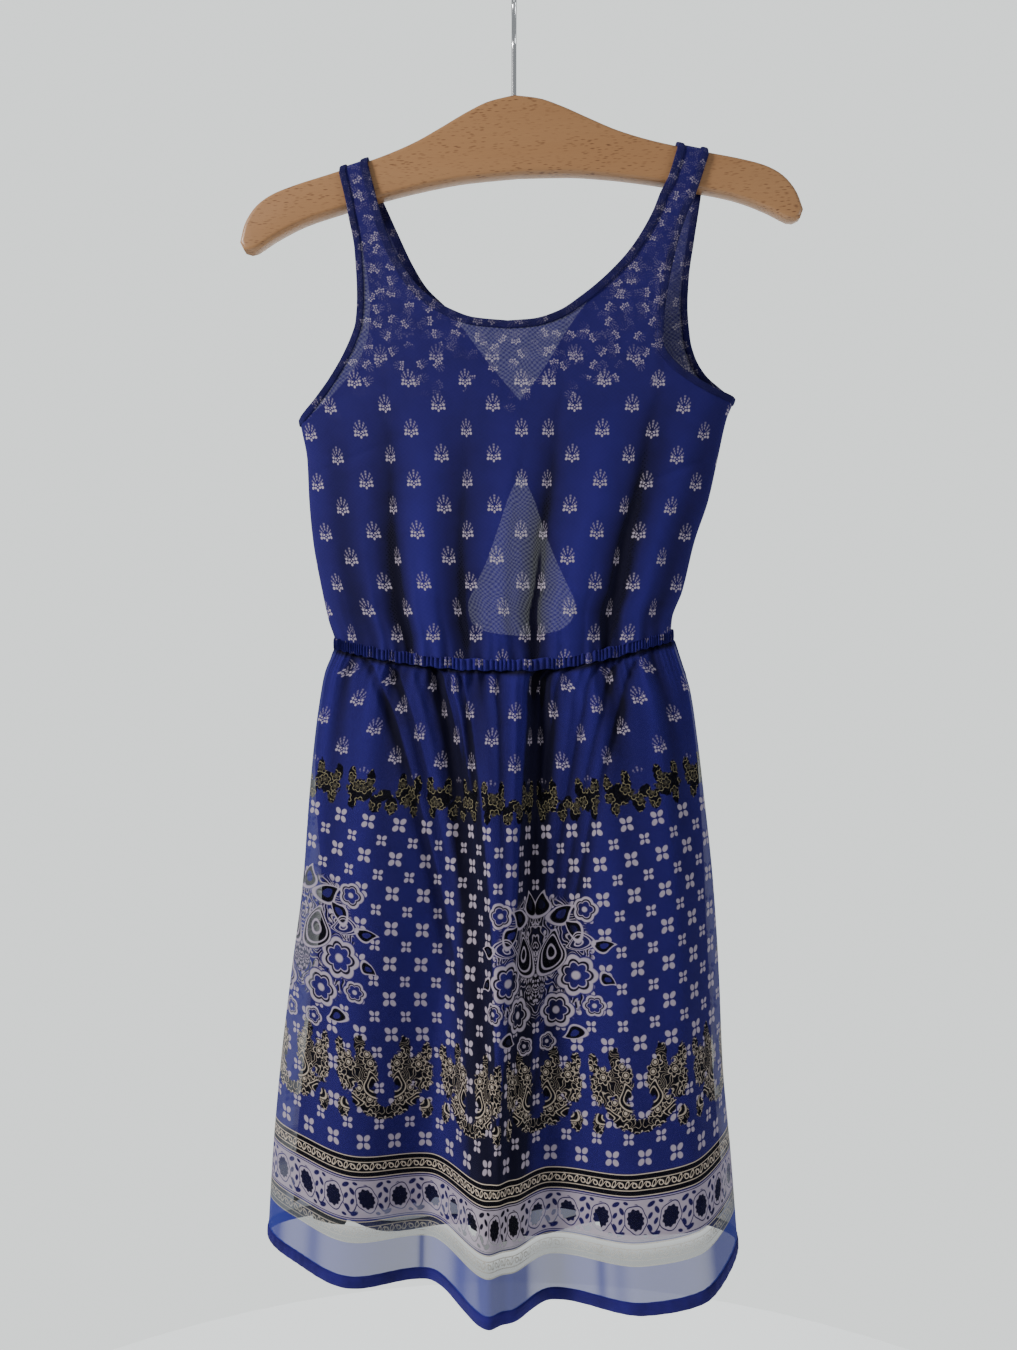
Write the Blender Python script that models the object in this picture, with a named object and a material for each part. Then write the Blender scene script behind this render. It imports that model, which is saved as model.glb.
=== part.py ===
"""A sleeveless summer dress hanging on its wooden hanger.

Metres, +Z up, the dress's front towards -Y. The origin is the seat of the hook: the underside of
its top, where a rail carries it. Tables hold millimetres, and a column called share or power is
a plain number. "Share" runs from -1 at the left side seam to 1 at the right one."""

import math

import bmesh
import bpy
import numpy as np
from mathutils import Vector

MM = 0.001

# The hanger
HANGER_TILT = math.radians(3.35)
HANGER_TOP = -101.2 * MM
WOOD_THICKNESS = 14 * MM
WOOD_ROUNDING = 3.5 * MM
WIRE = 3.8 * MM
HOOK_RADIUS = 22 * MM
HOOK_LEAVES = math.radians(-140)
HOOK_TIP = math.radians(105)
STEM_BEND = -62 * MM
BORE_DEPTH = 16 * MM
BORE_ROOM = 0.4 * MM

# The cloth
GAP = 0.3 * MM
JOIN = 0.45 * MM
CLOTH = 1.4 * MM
LINING = 1.2 * MM
NECK_BINDING = 6.5 * MM
ARM_BINDING = 5.5 * MM
KEYHOLE_BINDING = 4.5 * MM
BINDING_PROUD = 0.5 * MM
CASING_HEIGHT = 9 * MM
CASING_WALL = 2.6 * MM
HEM_BAND = 8.5 * MM
HEM_WALL = 2.2 * MM
LINING_HEM = -953 * MM

# The straps over the wood
WRAP_DEPTH = WOOD_THICKNESS / 2 + CLOTH + BINDING_PROUD + 0.6 * MM
WRAP_RISE = 3.8 * MM
WRAP_DROP = 4 * MM
WRAP_LENGTH = 13 * MM
STRAP_SETTLES = 60 * MM

FRONT_CENTRE = -5 * MM
BACK_CENTRE = 5 * MM
FRONT, BACK = -1, 1

# How finely the walls are divided
NECK_ROWS, CHEST_ROWS, BODY_ROWS = 9, 3, 7
BACK_NECK_ROWS, BACK_SEAM_ROWS, KEYHOLE_ROWS, LOW_ROWS, BACK_ARM_ROWS = 8, 2, 8, 2, 9
BODICE_COLUMNS = 13
SKIRT_COLUMNS, SKIRT_ROWS = 52, 11
BACK_SKIRT_COLUMNS, BACK_SKIRT_ROWS = 42, 9
LINING_COLUMNS, LINING_ROWS = 30, 7
WRAP_ROWS = 3
GATHERS = 15
CASING_RIPPLES = 24


def columns(names, *rows):
    """A short table: a named column for each measure, a row for each station."""
    plain = ("share", "power")
    return {
        name: np.array(column, float) * (1 if name in plain else MM)
        for name, column in zip(names.split(), zip(*rows))
    }


# Half of the hanger's outline, level, from the foot of the hook outwards
WOOD_ABOVE = columns(
    "out height",
    (0, 0), (19, -3.5), (35, -10), (57, -21.3), (77, -31.2), (100, -39.8), (123, -46.5),
    (148, -53), (170, -58.6), (189, -65), (202, -73.5), (211.5, -87), (215.5, -100),
)
WOOD_BELOW = columns(
    "out height",
    (213, -106), (207, -108), (200, -105), (189, -98.5), (164, -87.5), (135, -79.7),
    (103, -72), (66, -65.3), (38, -62), (0, -60.5),
)
# The bodice's cut edges, from the shoulder seam (whose height the wood sets) downwards
FRONT_NECK_LEFT = columns(
    "across height",
    (-111, -165), (-103, -187), (-97, -206), (-89, -225), (-75, -247), (-62, -259),
    (-49, -267), (-30, -274), (-5, -276.5),
)
FRONT_NECK_RIGHT = columns(
    "across height",
    (124, -153), (117, -166), (111, -178), (105, -193), (89, -220), (70, -241), (51, -257),
    (33, -269), (14, -275), (-5, -276.5),
)
FRONT_ARM_LEFT = columns(
    "across height",
    (-133, -169), (-128, -184), (-126, -195), (-121, -222), (-119, -260), (-120, -277),
    (-124, -290), (-131, -305), (-141, -321), (-153, -336), (-165, -348),
)
FRONT_ARM_RIGHT = columns(
    "across height",
    (148, -156), (137, -182), (130, -198), (121, -229), (117, -250), (114, -271),
    (113, -293), (119, -304), (133, -316), (152, -326), (170, -332),
)
BACK_NECK_LEFT = columns(
    "across height",
    (-111, -160), (-99, -182), (-89, -204), (-79, -225), (-68, -243), (-50, -261),
    (-38, -277), (-15, -307), (5, -330),
)
BACK_NECK_RIGHT = columns(
    "across height",
    (124, -150), (117, -170), (101, -198), (76, -231), (59, -251), (40, -278), (23, -306),
    (5, -330),
)
BACK_ARM_LEFT = columns(
    "across height",
    (-133, -165), (-124, -190), (-116, -222), (-112, -255), (-113, -278), (-118, -294),
    (-128, -311), (-143, -329), (-155, -341), (-165, -348),
)
BACK_ARM_RIGHT = columns(
    "across height",
    (148, -152), (145, -174), (140, -207), (136, -236), (135, -257), (137, -283),
    (141, -298), (149, -312), (159, -322), (170, -332),
)
KEYHOLE_LEFT = columns(
    "across height",
    (5, -385), (-5, -407), (-13, -431), (-21, -454), (-30, -474), (-36, -490), (-33, -503),
    (-19, -511), (5, -514),
)
KEYHOLE_RIGHT = columns(
    "across height",
    (5, -385), (16, -407), (24, -431), (33, -454), (42, -474), (48, -490), (44, -503),
    (30, -511), (5, -514),
)
# The bodice as a body: its side seams, its depth, and how squarely it turns at the sides
BODICE = columns(
    "height left right front back power",
    (-540, -137, 122, 13, 11, 2.0),
    (-520, -137.5, 121, 17, 13, 2.0),
    (-501, -143, 122, 22, 15, 2.0),
    (-479, -148, 130, 25, 18, 2.0),
    (-441, -155, 139.5, 26, 19, 2.1),
    (-410, -158, 150, 25, 18, 2.2),
    (-379, -159.5, 157, 24, 17, 2.4),
    (-348, -165, 164, 22, 16, 2.6),
    (-332, -166, 170, 20, 15, 3.0),
    (-300, -170, 174, 17, 13, 4.0),
    (-250, -173, 178, 13, 11, 6.0),
    (-150, -175, 180, 11, 10, 8.0),
)
# The waist seam's height, which sags between the sides
WAIST = columns(
    "share height",
    (-1, -520), (-0.75, -527.5), (-0.5, -532.5), (-0.2, -536.3), (0.1, -536.8),
    (0.35, -534.5), (0.6, -528), (0.8, -521), (1, -514),
)
# The skirt from waist seam (share 0) to hem (share 1)
SKIRT = columns(
    "share left right",
    (0, -138.5, 124), (0.04, -146, 130), (0.08, -149.4, 136), (0.15, -153.6, 140.9),
    (0.25, -157.8, 146.3), (0.4, -162.8, 153.5), (0.55, -171.3, 157.8), (0.7, -179.2, 160.5),
    (0.85, -185.1, 166.5), (1, -189, 171.5),
)
HEM = columns("share height", (-1, -971), (-0.5, -985), (0, -990), (0.5, -987), (1, -978))
# How far the hem stands out at each ridge and trough of its folds
FRONT_FOLDS = columns(
    "share depth",
    (-1, 38), (-0.86, 45), (-0.63, 60), (-0.31, 37), (-0.03, 98), (0.2, 60), (0.55, 86),
    (0.78, 88), (1, 55),
)
BACK_FOLDS = columns(
    "share depth",
    (-1, 30), (-0.78, 44), (-0.52, 27), (-0.2, 46), (0.12, 29), (0.42, 47), (0.68, 31),
    (0.86, 40), (1, 30),
)
# Soft folds that the waist's gathers send up the bodice: inwards is positive
FRONT_CREASES = columns(
    "share power depth",
    (-0.8, 0.07, 2.5), (-0.57, 0.07, 4), (-0.4, 0.08, -2.5), (-0.22, 0.09, 3), (0, 0.08, -2),
    (0.18, 0.07, 4), (0.4, 0.09, -3), (0.62, 0.08, 5), (0.77, 0.06, -2), (0.88, 0.05, 2),
)
BACK_CREASES = columns(
    "share power depth",
    (-0.75, 0.08, 3), (-0.5, 0.09, -2.5), (-0.3, 0.06, 2.5), (0.36, 0.07, 2.5), (0.55, 0.08, -3),
    (0.74, 0.07, 3.5),
)


def clear_scene():
    for old in list(bpy.data.objects):
        bpy.data.objects.remove(old, do_unlink=True)


def finish(name, colour, roughness, metallic=0.0):
    """A plain Principled material with the piece's colour."""
    material = bpy.data.materials.new(name)
    material.use_nodes = True
    shader = material.node_tree.nodes["Principled BSDF"]
    shader.inputs["Base Color"].default_value = (*colour, 1)
    shader.inputs["Roughness"].default_value = roughness
    shader.inputs["Metallic"].default_value = metallic
    material.diffuse_color = (*colour, 1)
    return material


def smooth(xs, ys, at):
    """The smooth curve through a table's points that never swings past them."""
    xs, ys = np.asarray(xs, float), np.asarray(ys, float)
    steps = np.diff(xs)
    slopes = np.diff(ys) / steps
    bends = np.zeros(len(xs))
    same = slopes[:-1] * slopes[1:] > 0
    bends[1:-1][same] = 2 * slopes[:-1][same] * slopes[1:][same] / (slopes[:-1] + slopes[1:])[same]
    bends[0], bends[-1] = slopes[0], slopes[-1]
    at = np.clip(at, xs[0], xs[-1])
    k = np.clip(np.searchsorted(xs, at) - 1, 0, len(xs) - 2)
    t = (at - xs[k]) / steps[k]
    start = ys[k] * (1 + 2 * t) * (1 - t) ** 2 + bends[k] * steps[k] * t * (1 - t) ** 2
    end = ys[k + 1] * t * t * (3 - 2 * t) + bends[k + 1] * steps[k] * t * t * (t - 1)
    return start + end


def along(table, count):
    """count + 1 evenly spaced points on the smooth curve through a table of edge points."""
    points = np.stack(list(table.values())[:2], axis=1) if isinstance(table, dict) else table
    run = np.concatenate([[0], np.cumsum(np.linalg.norm(np.diff(points, axis=0), axis=1))])
    at = np.linspace(0, run[-1], count + 1)
    return np.stack([smooth(run, points[:, 0], at), smooth(run, points[:, 1], at)], axis=1)


def ease(t):
    t = min(max(t, 0), 1)
    return t * t * (3 - 2 * t)


# The hanger's outline, tilted as it hangs


def tilted(out, height):
    c, s = math.cos(HANGER_TILT), math.sin(HANGER_TILT)
    return out * c - height * s, HANGER_TOP + out * s + height * c


def wood_outline():
    """The outline's corners: the upper edge from left to right, then the lower edge back."""
    above = along(WOOD_ABOVE, 20)
    below = along(WOOD_BELOW, 16)
    half = np.concatenate([above, below])
    left = [(-out, height) for out, height in half[1:-1]]
    return [tilted(out, height) for out, height in list(half) + left[::-1]]


def wood_top(across):
    """The height of the wood's upper edge."""
    side = [tilted(out, height) for out, height in along(WOOD_ABOVE, 40)]
    other = [tilted(-out, height) for out, height in along(WOOD_ABOVE, 40)]
    edge = np.array(sorted(other[1:] + side))
    return float(np.interp(across, edge[:, 0], edge[:, 1]))


# The bodice's surface. A flat point is (across, rise). Rise is the height, and over the
# wood it goes on along the cloth as that turns over the strap's top.


def wrap_start(across):
    return wood_top(across) - WRAP_DROP


def share_across(across, height):
    left = smooth(BODICE["height"], BODICE["left"], height)
    right = smooth(BODICE["height"], BODICE["right"], height)
    return (2 * across - left - right) / (right - left)


def side_seam(height, way):
    return float(smooth(BODICE["height"], BODICE["left" if way < 0 else "right"], height))


def creases(share, height, side):
    """The soft folds over the gathered waist, fading up the bodice."""
    waist = smooth(WAIST["share"], WAIST["height"], share)
    up = (height - waist) / (200 * MM)
    if up >= 1:
        return 0.0
    table = FRONT_CREASES if side == FRONT else BACK_CREASES
    at = share * (1 - 0.06 * up)
    waves = table["depth"] * np.exp(-(((at - table["share"]) / table["power"]) ** 2))
    return float(waves.sum()) * min(1, 0.45 + 4 * max(up, 0)) * (1 - max(up, 0)) ** 0.8


def bodice_point(across, rise, side):
    """Where a flat point of the bodice lies. Side is FRONT or BACK."""
    start = wrap_start(across)
    if rise > start:
        turn = (rise - start) / WRAP_LENGTH * math.pi / 2
        deep = WRAP_DEPTH * math.cos(turn)
        height = start + (WRAP_DROP + WRAP_RISE) * math.sin(turn)
        return Vector((across, side * max(deep, GAP / 2), height))
    share = share_across(across, rise)
    power = smooth(BODICE["height"], BODICE["power"], rise)
    full = smooth(BODICE["height"], BODICE["front" if side == FRONT else "back"], rise)
    turn_in = math.sqrt(max(0.0, 1 - min(abs(share), 1) ** power))
    deep = (full - creases(share, rise, side)) * turn_in
    deep = WRAP_DEPTH + (deep - WRAP_DEPTH) * ease((start - rise) / STRAP_SETTLES)
    return Vector((across, side * max(deep, GAP / 2), rise))


def bodice_normal(across, rise, side):
    """The way out of the cloth at a flat point. Hanging cloth is measured level."""
    start = wrap_start(across)
    if rise > start:
        turn = (rise - start) / WRAP_LENGTH * math.pi / 2
        return Vector((0, side * math.cos(turn), math.sin(turn)))
    share = share_across(across, rise)
    if abs(share) > 0.995:
        return Vector((math.copysign(1, share), 0, 0))
    step = 0.5 * MM
    over = bodice_point(across + step, rise, side) - bodice_point(across - step, rise, side)
    return Vector((-over.y * side, over.x * side, 0)).normalized()


def bodice_pair(across, rise, side, proud, under):
    """The cloth's outer and inner points at a flat point, either side of the surface."""
    normal = bodice_normal(across, rise, side)
    point = bodice_point(across, rise, side)
    return keep_side(point + normal * proud, side), keep_side(point - normal * under, side)


def keep_side(point, side):
    """Front pieces stay in front of the seams' plane, and back pieces behind it."""
    point.y = side * max(side * point.y, GAP / 2)
    return point


def wrap_stations(across):
    """Flat points from the shoulder seam to where the strap falls straight."""
    return [(across, wrap_start(across) + WRAP_LENGTH * (1 - k / WRAP_ROWS)) for k in range(WRAP_ROWS)]


def cut_edge(table, count, inwards=0.0, way=1, last=None):
    """A cut edge's flat points from the shoulder seam down, or the line that far inside it."""
    points = np.stack([table["across"], table["height"]], axis=1)
    points[0, 1] = wrap_start(points[0, 0])
    edge = along(points, count)
    if inwards:
        edge = moved_in(edge, inwards, way)
        edge[0, 1] = wrap_start(edge[0, 0])
    if last is not None:
        edge[-1] = last
    return np.concatenate([wrap_stations(edge[0, 0]), edge])


def moved_in(edge, distance, way):
    """The line a distance to one side of a flat line."""
    run = np.gradient(edge, axis=0)
    run /= np.linalg.norm(run, axis=1)[:, None]
    return edge + distance * way * np.stack([-run[:, 1], run[:, 0]], axis=1)


def side_edge(way, top, bottom, count):
    """The side seam's flat points."""
    heights = np.linspace(top, bottom, count + 1)
    return np.array([(side_seam(height, way), height) for height in heights])


def waist_top(share):
    return float(smooth(WAIST["share"], WAIST["height"], share)) + CASING_HEIGHT / 2 + JOIN


def centre_line(start, end, count):
    return np.linspace(start, end, count + 1)


def half_grid(outer, inner, way, side, first_body_row):
    """Rows of paired points from a half bodice's outer edge to its inner edge."""
    grid = []
    last = len(outer) - 1
    for k, (out, inn) in enumerate(zip(outer, inner)):
        low = max(0, k - first_body_row) / (last - first_body_row)
        row = []
        for share in np.linspace(0, 1, BODICE_COLUMNS + 1) ** 1.5:
            across, rise = out + (inn - out) * share
            straight = outer[-1] + (inner[-1] - outer[-1]) * share
            rise += (waist_top(share_across(*straight)) - straight[1]) * low**2
            if k < WRAP_ROWS:
                rise = wrap_start(across) + WRAP_LENGTH * (1 - k / WRAP_ROWS)
            row.append(bodice_pair(across, rise, side, 0, CLOTH))
        grid.append(row if way < 0 else row[::-1])
    return grid


def wall(name, grids, material, side):
    """A closed cloth wall from grids of paired outer and inner points that join edge to edge."""
    outer, inner, known, faces = [], [], {}, []
    for grid in grids:
        rows = []
        for row in grid:
            places = []
            for out, inn in row:
                key = tuple(round(value / (0.02 * MM)) for value in out)
                if key not in known:
                    known[key] = len(outer)
                    outer.append(out)
                    inner.append(inn)
                places.append(known[key])
            rows.append(places)
        for upper, lower in zip(rows, rows[1:]):
            for k in range(len(upper) - 1):
                corners = (upper[k], lower[k], lower[k + 1], upper[k + 1])
                faces.append(corners if side == FRONT else corners[::-1])
    count = len(outer)
    sides = {(a, b) for face in faces for a, b in zip(face, face[1:] + face[:1])}
    rims = [(b, a, a + count, b + count) for a, b in sorted(sides) if (b, a) not in sides]
    inside = [tuple(k + count for k in reversed(face)) for face in faces]
    return solid(name, outer + inner, faces + inside + rims, material)


def solid(name, points, faces, material):
    """A mesh object from points and faces, its faces turned outwards."""
    mesh = bmesh.new()
    verts = [mesh.verts.new(point) for point in points]
    for face in faces:
        mesh.faces.new([verts[k] for k in face])
    bmesh.ops.recalc_face_normals(mesh, faces=mesh.faces)
    data = bpy.data.meshes.new(name)
    mesh.to_mesh(data)
    mesh.free()
    data.shade_smooth()
    data.set_sharp_from_angle(angle=math.radians(50))
    data.materials.append(material)
    made = bpy.data.objects.new(name, data)
    bpy.context.scene.collection.objects.link(made)
    return made


def ribbon(name, edge, inside, side, material, closed=False):
    """A binding on the bodice's edge: it grips the cloth, so it stands proud of both faces."""
    points = []
    for start, end in zip(edge, inside):
        over, under = bodice_pair(*start, side, BINDING_PROUD, CLOTH + BINDING_PROUD)
        far_over, far_under = bodice_pair(*end, side, BINDING_PROUD, CLOTH + BINDING_PROUD)
        points += [over, under, far_under, far_over]
    stations = len(edge)
    faces = []
    for k in range(stations if closed else stations - 1):
        a, b = 4 * k, 4 * ((k + 1) % stations)
        faces += [(a + j, a + (j + 1) % 4, b + (j + 1) % 4, b + j) for j in range(4)]
    if not closed:
        faces += [(0, 1, 2, 3), tuple(4 * (stations - 1) + j for j in range(4))]
    return solid(name, points, faces, material)


# The bodice's pieces


def underarm(way, table, inwards):
    """The flat point on the side seam where a line inside the armhole meets it."""
    corner = table["height"][-1] - inwards * 1.1
    return side_seam(corner, way), corner


def body_rows(way, arm_table, arm_rows, rows):
    """A half bodice's outer edge: inside the armhole's binding, then down the side seam."""
    inwards = ARM_BINDING + JOIN
    meet = underarm(way, arm_table, inwards)
    arm = cut_edge(arm_table, arm_rows, inwards, 1 if way < 0 else -1, meet)
    seam = side_edge(way, meet[1], waist_top(way), rows)
    return np.concatenate([arm, seam[1:]])


def bodice_front(material):
    grids = []
    arm_rows = NECK_ROWS + CHEST_ROWS
    for way, neck, arm in ((-1, FRONT_NECK_LEFT, FRONT_ARM_LEFT), (1, FRONT_NECK_RIGHT, FRONT_ARM_RIGHT)):
        inwards = NECK_BINDING + JOIN
        low = (FRONT_CENTRE, neck["height"][-1] - inwards)
        neckline = cut_edge(neck, NECK_ROWS, inwards, -1 if way < 0 else 1, low)
        waist = (FRONT_CENTRE, waist_top(share_across(FRONT_CENTRE, BODICE["height"][0])))
        inner = np.concatenate([neckline, centre_line(low, waist, CHEST_ROWS + BODY_ROWS)[1:]])
        outer = body_rows(way, arm, arm_rows, BODY_ROWS)
        grids.append(half_grid(outer, inner, way, FRONT, WRAP_ROWS + arm_rows))
    return wall("bodice_front", grids, material, FRONT)


def keyhole_edge(table, count, inwards, way):
    edge = along(table, count)
    if inwards:
        edge = moved_in(edge, inwards, -1 if way < 0 else 1)
        edge[0, 0] = edge[-1, 0] = BACK_CENTRE
        edge[0, 1] = table["height"][0] + inwards * 1.6
        edge[-1, 1] = table["height"][-1] - inwards
    return edge


def bodice_back(material):
    grids = []
    body = BACK_NECK_ROWS + BACK_SEAM_ROWS + KEYHOLE_ROWS + LOW_ROWS - BACK_ARM_ROWS
    sides = (
        (-1, BACK_NECK_LEFT, BACK_ARM_LEFT, KEYHOLE_LEFT),
        (1, BACK_NECK_RIGHT, BACK_ARM_RIGHT, KEYHOLE_RIGHT),
    )
    for way, neck, arm, hole in sides:
        inwards = NECK_BINDING + JOIN
        low = (BACK_CENTRE, neck["height"][-1] - inwards * 1.5)
        neckline = cut_edge(neck, BACK_NECK_ROWS, inwards, -1 if way < 0 else 1, low)
        keyhole = keyhole_edge(hole, KEYHOLE_ROWS, KEYHOLE_BINDING + 2 * JOIN, way)
        seam = centre_line(low, keyhole[0], BACK_SEAM_ROWS)
        waist = (BACK_CENTRE, waist_top(share_across(BACK_CENTRE, BODICE["height"][0])))
        bottom = centre_line(keyhole[-1], waist, LOW_ROWS)
        inner = np.concatenate([neckline, seam[1:], keyhole[1:], bottom[1:]])
        outer = body_rows(way, arm, BACK_ARM_ROWS, body)
        grids.append(half_grid(outer, inner, way, BACK, WRAP_ROWS + BACK_ARM_ROWS))
    return wall("bodice_back", grids, material, BACK)


def bindings(material):
    """The narrow strips that bind the neck, the armholes and the keyhole."""
    for side, left, right, rows, name in (
        (FRONT, FRONT_NECK_LEFT, FRONT_NECK_RIGHT, NECK_ROWS, "neck_binding_front"),
        (BACK, BACK_NECK_LEFT, BACK_NECK_RIGHT, BACK_NECK_ROWS, "neck_binding_back"),
    ):
        lines = []
        for inwards in (0, NECK_BINDING):
            drop = inwards * (1 if side == FRONT else 1.45)
            centre = FRONT_CENTRE if side == FRONT else BACK_CENTRE
            low = (centre, left["height"][-1] - drop)
            one = cut_edge(left, rows, inwards, -1, low)
            other = cut_edge(right, rows, inwards, 1, low)
            lines.append(np.concatenate([one, other[-2::-1]]))
        ribbon(name, lines[0], lines[1], side, material)
    for side, way, table, name in (
        (FRONT, -1, FRONT_ARM_LEFT, "arm_binding_front_left"),
        (FRONT, 1, FRONT_ARM_RIGHT, "arm_binding_front_right"),
        (BACK, -1, BACK_ARM_LEFT, "arm_binding_back_left"),
        (BACK, 1, BACK_ARM_RIGHT, "arm_binding_back_right"),
    ):
        turn = 1 if way < 0 else -1
        rows = NECK_ROWS + CHEST_ROWS if side == FRONT else BACK_ARM_ROWS
        edge = cut_edge(table, rows)
        inside = cut_edge(table, rows, ARM_BINDING, turn, underarm(way, table, ARM_BINDING))
        ribbon(name, edge, inside, side, material)
    rings = []
    for inwards in (0, KEYHOLE_BINDING):
        one = keyhole_edge(KEYHOLE_LEFT, KEYHOLE_ROWS, inwards, -1)
        other = keyhole_edge(KEYHOLE_RIGHT, KEYHOLE_ROWS, inwards, 1)
        rings.append(np.concatenate([one, other[-2:0:-1]]))
    ribbon("keyhole_binding", rings[0], rings[1], BACK, material, closed=True)


# The casing and the skirt, both read by an angle round the body: -90 degrees at the left
# side seam, 0 in the middle and 90 at the right one


def gathers(angle, down):
    """The small pleats under the casing, which open out and merge on their way down."""
    turn = angle / math.pi + 0.5
    turn += 0.012 * math.sin(11 * turn) + 0.008 * math.sin(23 * turn + 1)
    fine = 1.9 * MM * math.cos(2 * math.pi * GATHERS * turn) * math.exp(-down / 0.12)
    wide = 2.6 * MM * math.cos(math.pi * GATHERS * turn + 0.9) * math.exp(-down / 0.34)
    return (fine + wide) * min(1, 0.5 + down / 0.03)


def under_pleats(angle, down):
    """The depth that the lining leaves free for the pleats over it."""
    return -4.2 * MM * math.exp(-down / 0.3)


def skirt_depth(share, down, side, pleats):
    """How far the skirt stands out from the side seams' plane, and its pleats above that."""
    table = FRONT_FOLDS if side == FRONT else BACK_FOLDS
    at_hem = float(smooth(table["share"], table["depth"], share))
    at_waist = float(BODICE["front" if side == FRONT else "back"][0])
    opened = 0.12 * min(down / 0.08, 1) + 0.88 * down
    angle = math.asin(min(max(share, -1), 1))
    full = at_waist * (1 - opened) + at_hem * opened + pleats(angle, down)
    return full * math.sqrt(max(0.0, 1 - min(abs(share), 1) ** (2 + 4 * opened)))


def skirt_height(share, down):
    top = float(smooth(WAIST["share"], WAIST["height"], share)) - CASING_HEIGHT / 2 - GAP
    hem = float(smooth(HEM["share"], HEM["height"], share))
    return top + (hem - top) * down


def skirt_down(share, height):
    """The share of the way down the skirt at which it reaches a height."""
    top, hem = skirt_height(share, 0), skirt_height(share, 1)
    return (top - height) / (top - hem)


def skirt_sides(down):
    left = float(smooth(SKIRT["share"], SKIRT["left"], down))
    right = float(smooth(SKIRT["share"], SKIRT["right"], down))
    return (left + right) / 2, (right - left) / 2


def skirt_point(angle, down, side):
    middle, half = skirt_sides(down)
    share = math.sin(angle)
    deep = max(skirt_depth(share, down, side, gathers), GAP / 2)
    return Vector((middle + half * share, side * deep, skirt_height(share, down)))


def lining_point(angle, fall, side):
    """The lining hangs inside the skirt with less width and shallower folds, and stops short."""
    share = math.sin(angle)
    start = skirt_height(share, 0.003)
    height = start + (LINING_HEM - start) * fall
    down = skirt_down(share, height)
    middle, half = skirt_sides(down)
    room = (2.8 + 10 * min(down / 0.4, 1)) * MM
    across = middle + (half - room) * share
    skirt_share = (across - middle) / half
    deep = skirt_depth(skirt_share, down, side, under_pleats) * (0.75 - 0.2 * down)
    deep = max(deep * math.sqrt(max(0.0, 1 - abs(share) ** 8)), GAP / 2)
    return Vector((across, side * deep, height))


def casing_point(angle, up, side):
    share = math.sin(angle)
    left, right = side_seam(-530 * MM, -1), side_seam(-530 * MM, 1)
    full = float(BODICE["front" if side == FRONT else "back"][0]) + 1.2 * MM
    ripple = 0.55 * MM * math.cos(2 * CASING_RIPPLES * angle)
    deep = max((full + ripple) * math.cos(angle), GAP / 2)
    height = float(smooth(WAIST["share"], WAIST["height"], share)) + up * CASING_HEIGHT / 2
    across = (left + right) / 2 + ((right - left) / 2 + 1 * MM) * share
    return Vector((across, side * deep, height))


def panel(name, point, side, column_count, downs, thickness, material):
    """A wall between the side seams, from a function of the angle and the way down."""
    quarter = math.pi / 2
    grid = []
    for down in downs:
        row = []
        for angle in np.linspace(-quarter, quarter, column_count + 1):
            here = point(angle, down, side)
            step = 0.004
            after = point(min(angle + step, quarter), down, side)
            before = point(max(angle - step, -quarter), down, side)
            over = after - before
            normal = Vector((-over.y * side, over.x * side, 0)).normalized()
            if abs(angle) > quarter - 0.001:
                here.y = side * GAP / 2
                normal = Vector((math.copysign(1, angle), 0, 0))
            row.append((here, keep_side(here - normal * thickness, side)))
        grid.append(row)
    return wall(name, [grid], material, side)


def skirt(chiffon, hem, lining):
    length = HEM["height"][2] - WAIST["height"][4]
    band = abs(HEM_BAND / length)
    last = 1 - band - abs(GAP / length)
    for side, part, count, rows in (
        (FRONT, "front", SKIRT_COLUMNS, SKIRT_ROWS),
        (BACK, "back", BACK_SKIRT_COLUMNS, BACK_SKIRT_ROWS),
    ):
        downs = np.linspace(0, 1, rows + 1) ** 1.25 * last
        panel(f"skirt_{part}", skirt_point, side, count, downs, CLOTH, chiffon)
        panel(f"hem_band_{part}", skirt_point, side, count, (1 - band, 1), HEM_WALL, hem)
        falls = np.linspace(0, 1, LINING_ROWS + 1) ** 1.2
        panel(f"lining_{part}", lining_point, side, LINING_COLUMNS, falls, LINING, lining)


def casing(material):
    for side, part in ((FRONT, "front"), (BACK, "back")):
        count = CASING_RIPPLES * 2
        panel(f"waist_casing_{part}", casing_point, side, count, (1, -1), CASING_WALL, material)


# The hanger


def hanger_wood(material):
    outline = wood_outline()
    front = [Vector((x, -WOOD_THICKNESS / 2, z)) for x, z in outline]
    back = [Vector((x, WOOD_THICKNESS / 2, z)) for x, z in outline]
    count = len(outline)
    faces = [tuple(range(count)), tuple(range(2 * count - 1, count - 1, -1))]
    faces += [(k, (k + 1) % count, (k + 1) % count + count, k + count) for k in range(count)]
    wood = solid("hanger_wood", front + back, faces, material)
    rounding = wood.modifiers.new("rounded edges", "BEVEL")
    rounding.width = WOOD_ROUNDING
    rounding.segments = 2
    rounding.limit_method = "ANGLE"
    rounding.angle_limit = math.radians(60)
    bore = bpy.data.meshes.new("hook_bore")
    shape = bmesh.new()
    bmesh.ops.create_cone(
        shape, cap_ends=True, segments=20, radius1=WIRE / 2 + BORE_ROOM,
        radius2=WIRE / 2 + BORE_ROOM, depth=2 * BORE_DEPTH,
    )
    shape.to_mesh(bore)
    shape.free()
    cutter = bpy.data.objects.new("hook_bore", bore)
    cutter.location = (0, 0, HANGER_TOP)
    cutter.hide_render = True
    cutter.display_type = "WIRE"
    bpy.context.scene.collection.objects.link(cutter)
    cut = wood.modifiers.new("hook bore", "BOOLEAN")
    cut.object = cutter
    cut.operation = "DIFFERENCE"
    return wood


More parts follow.
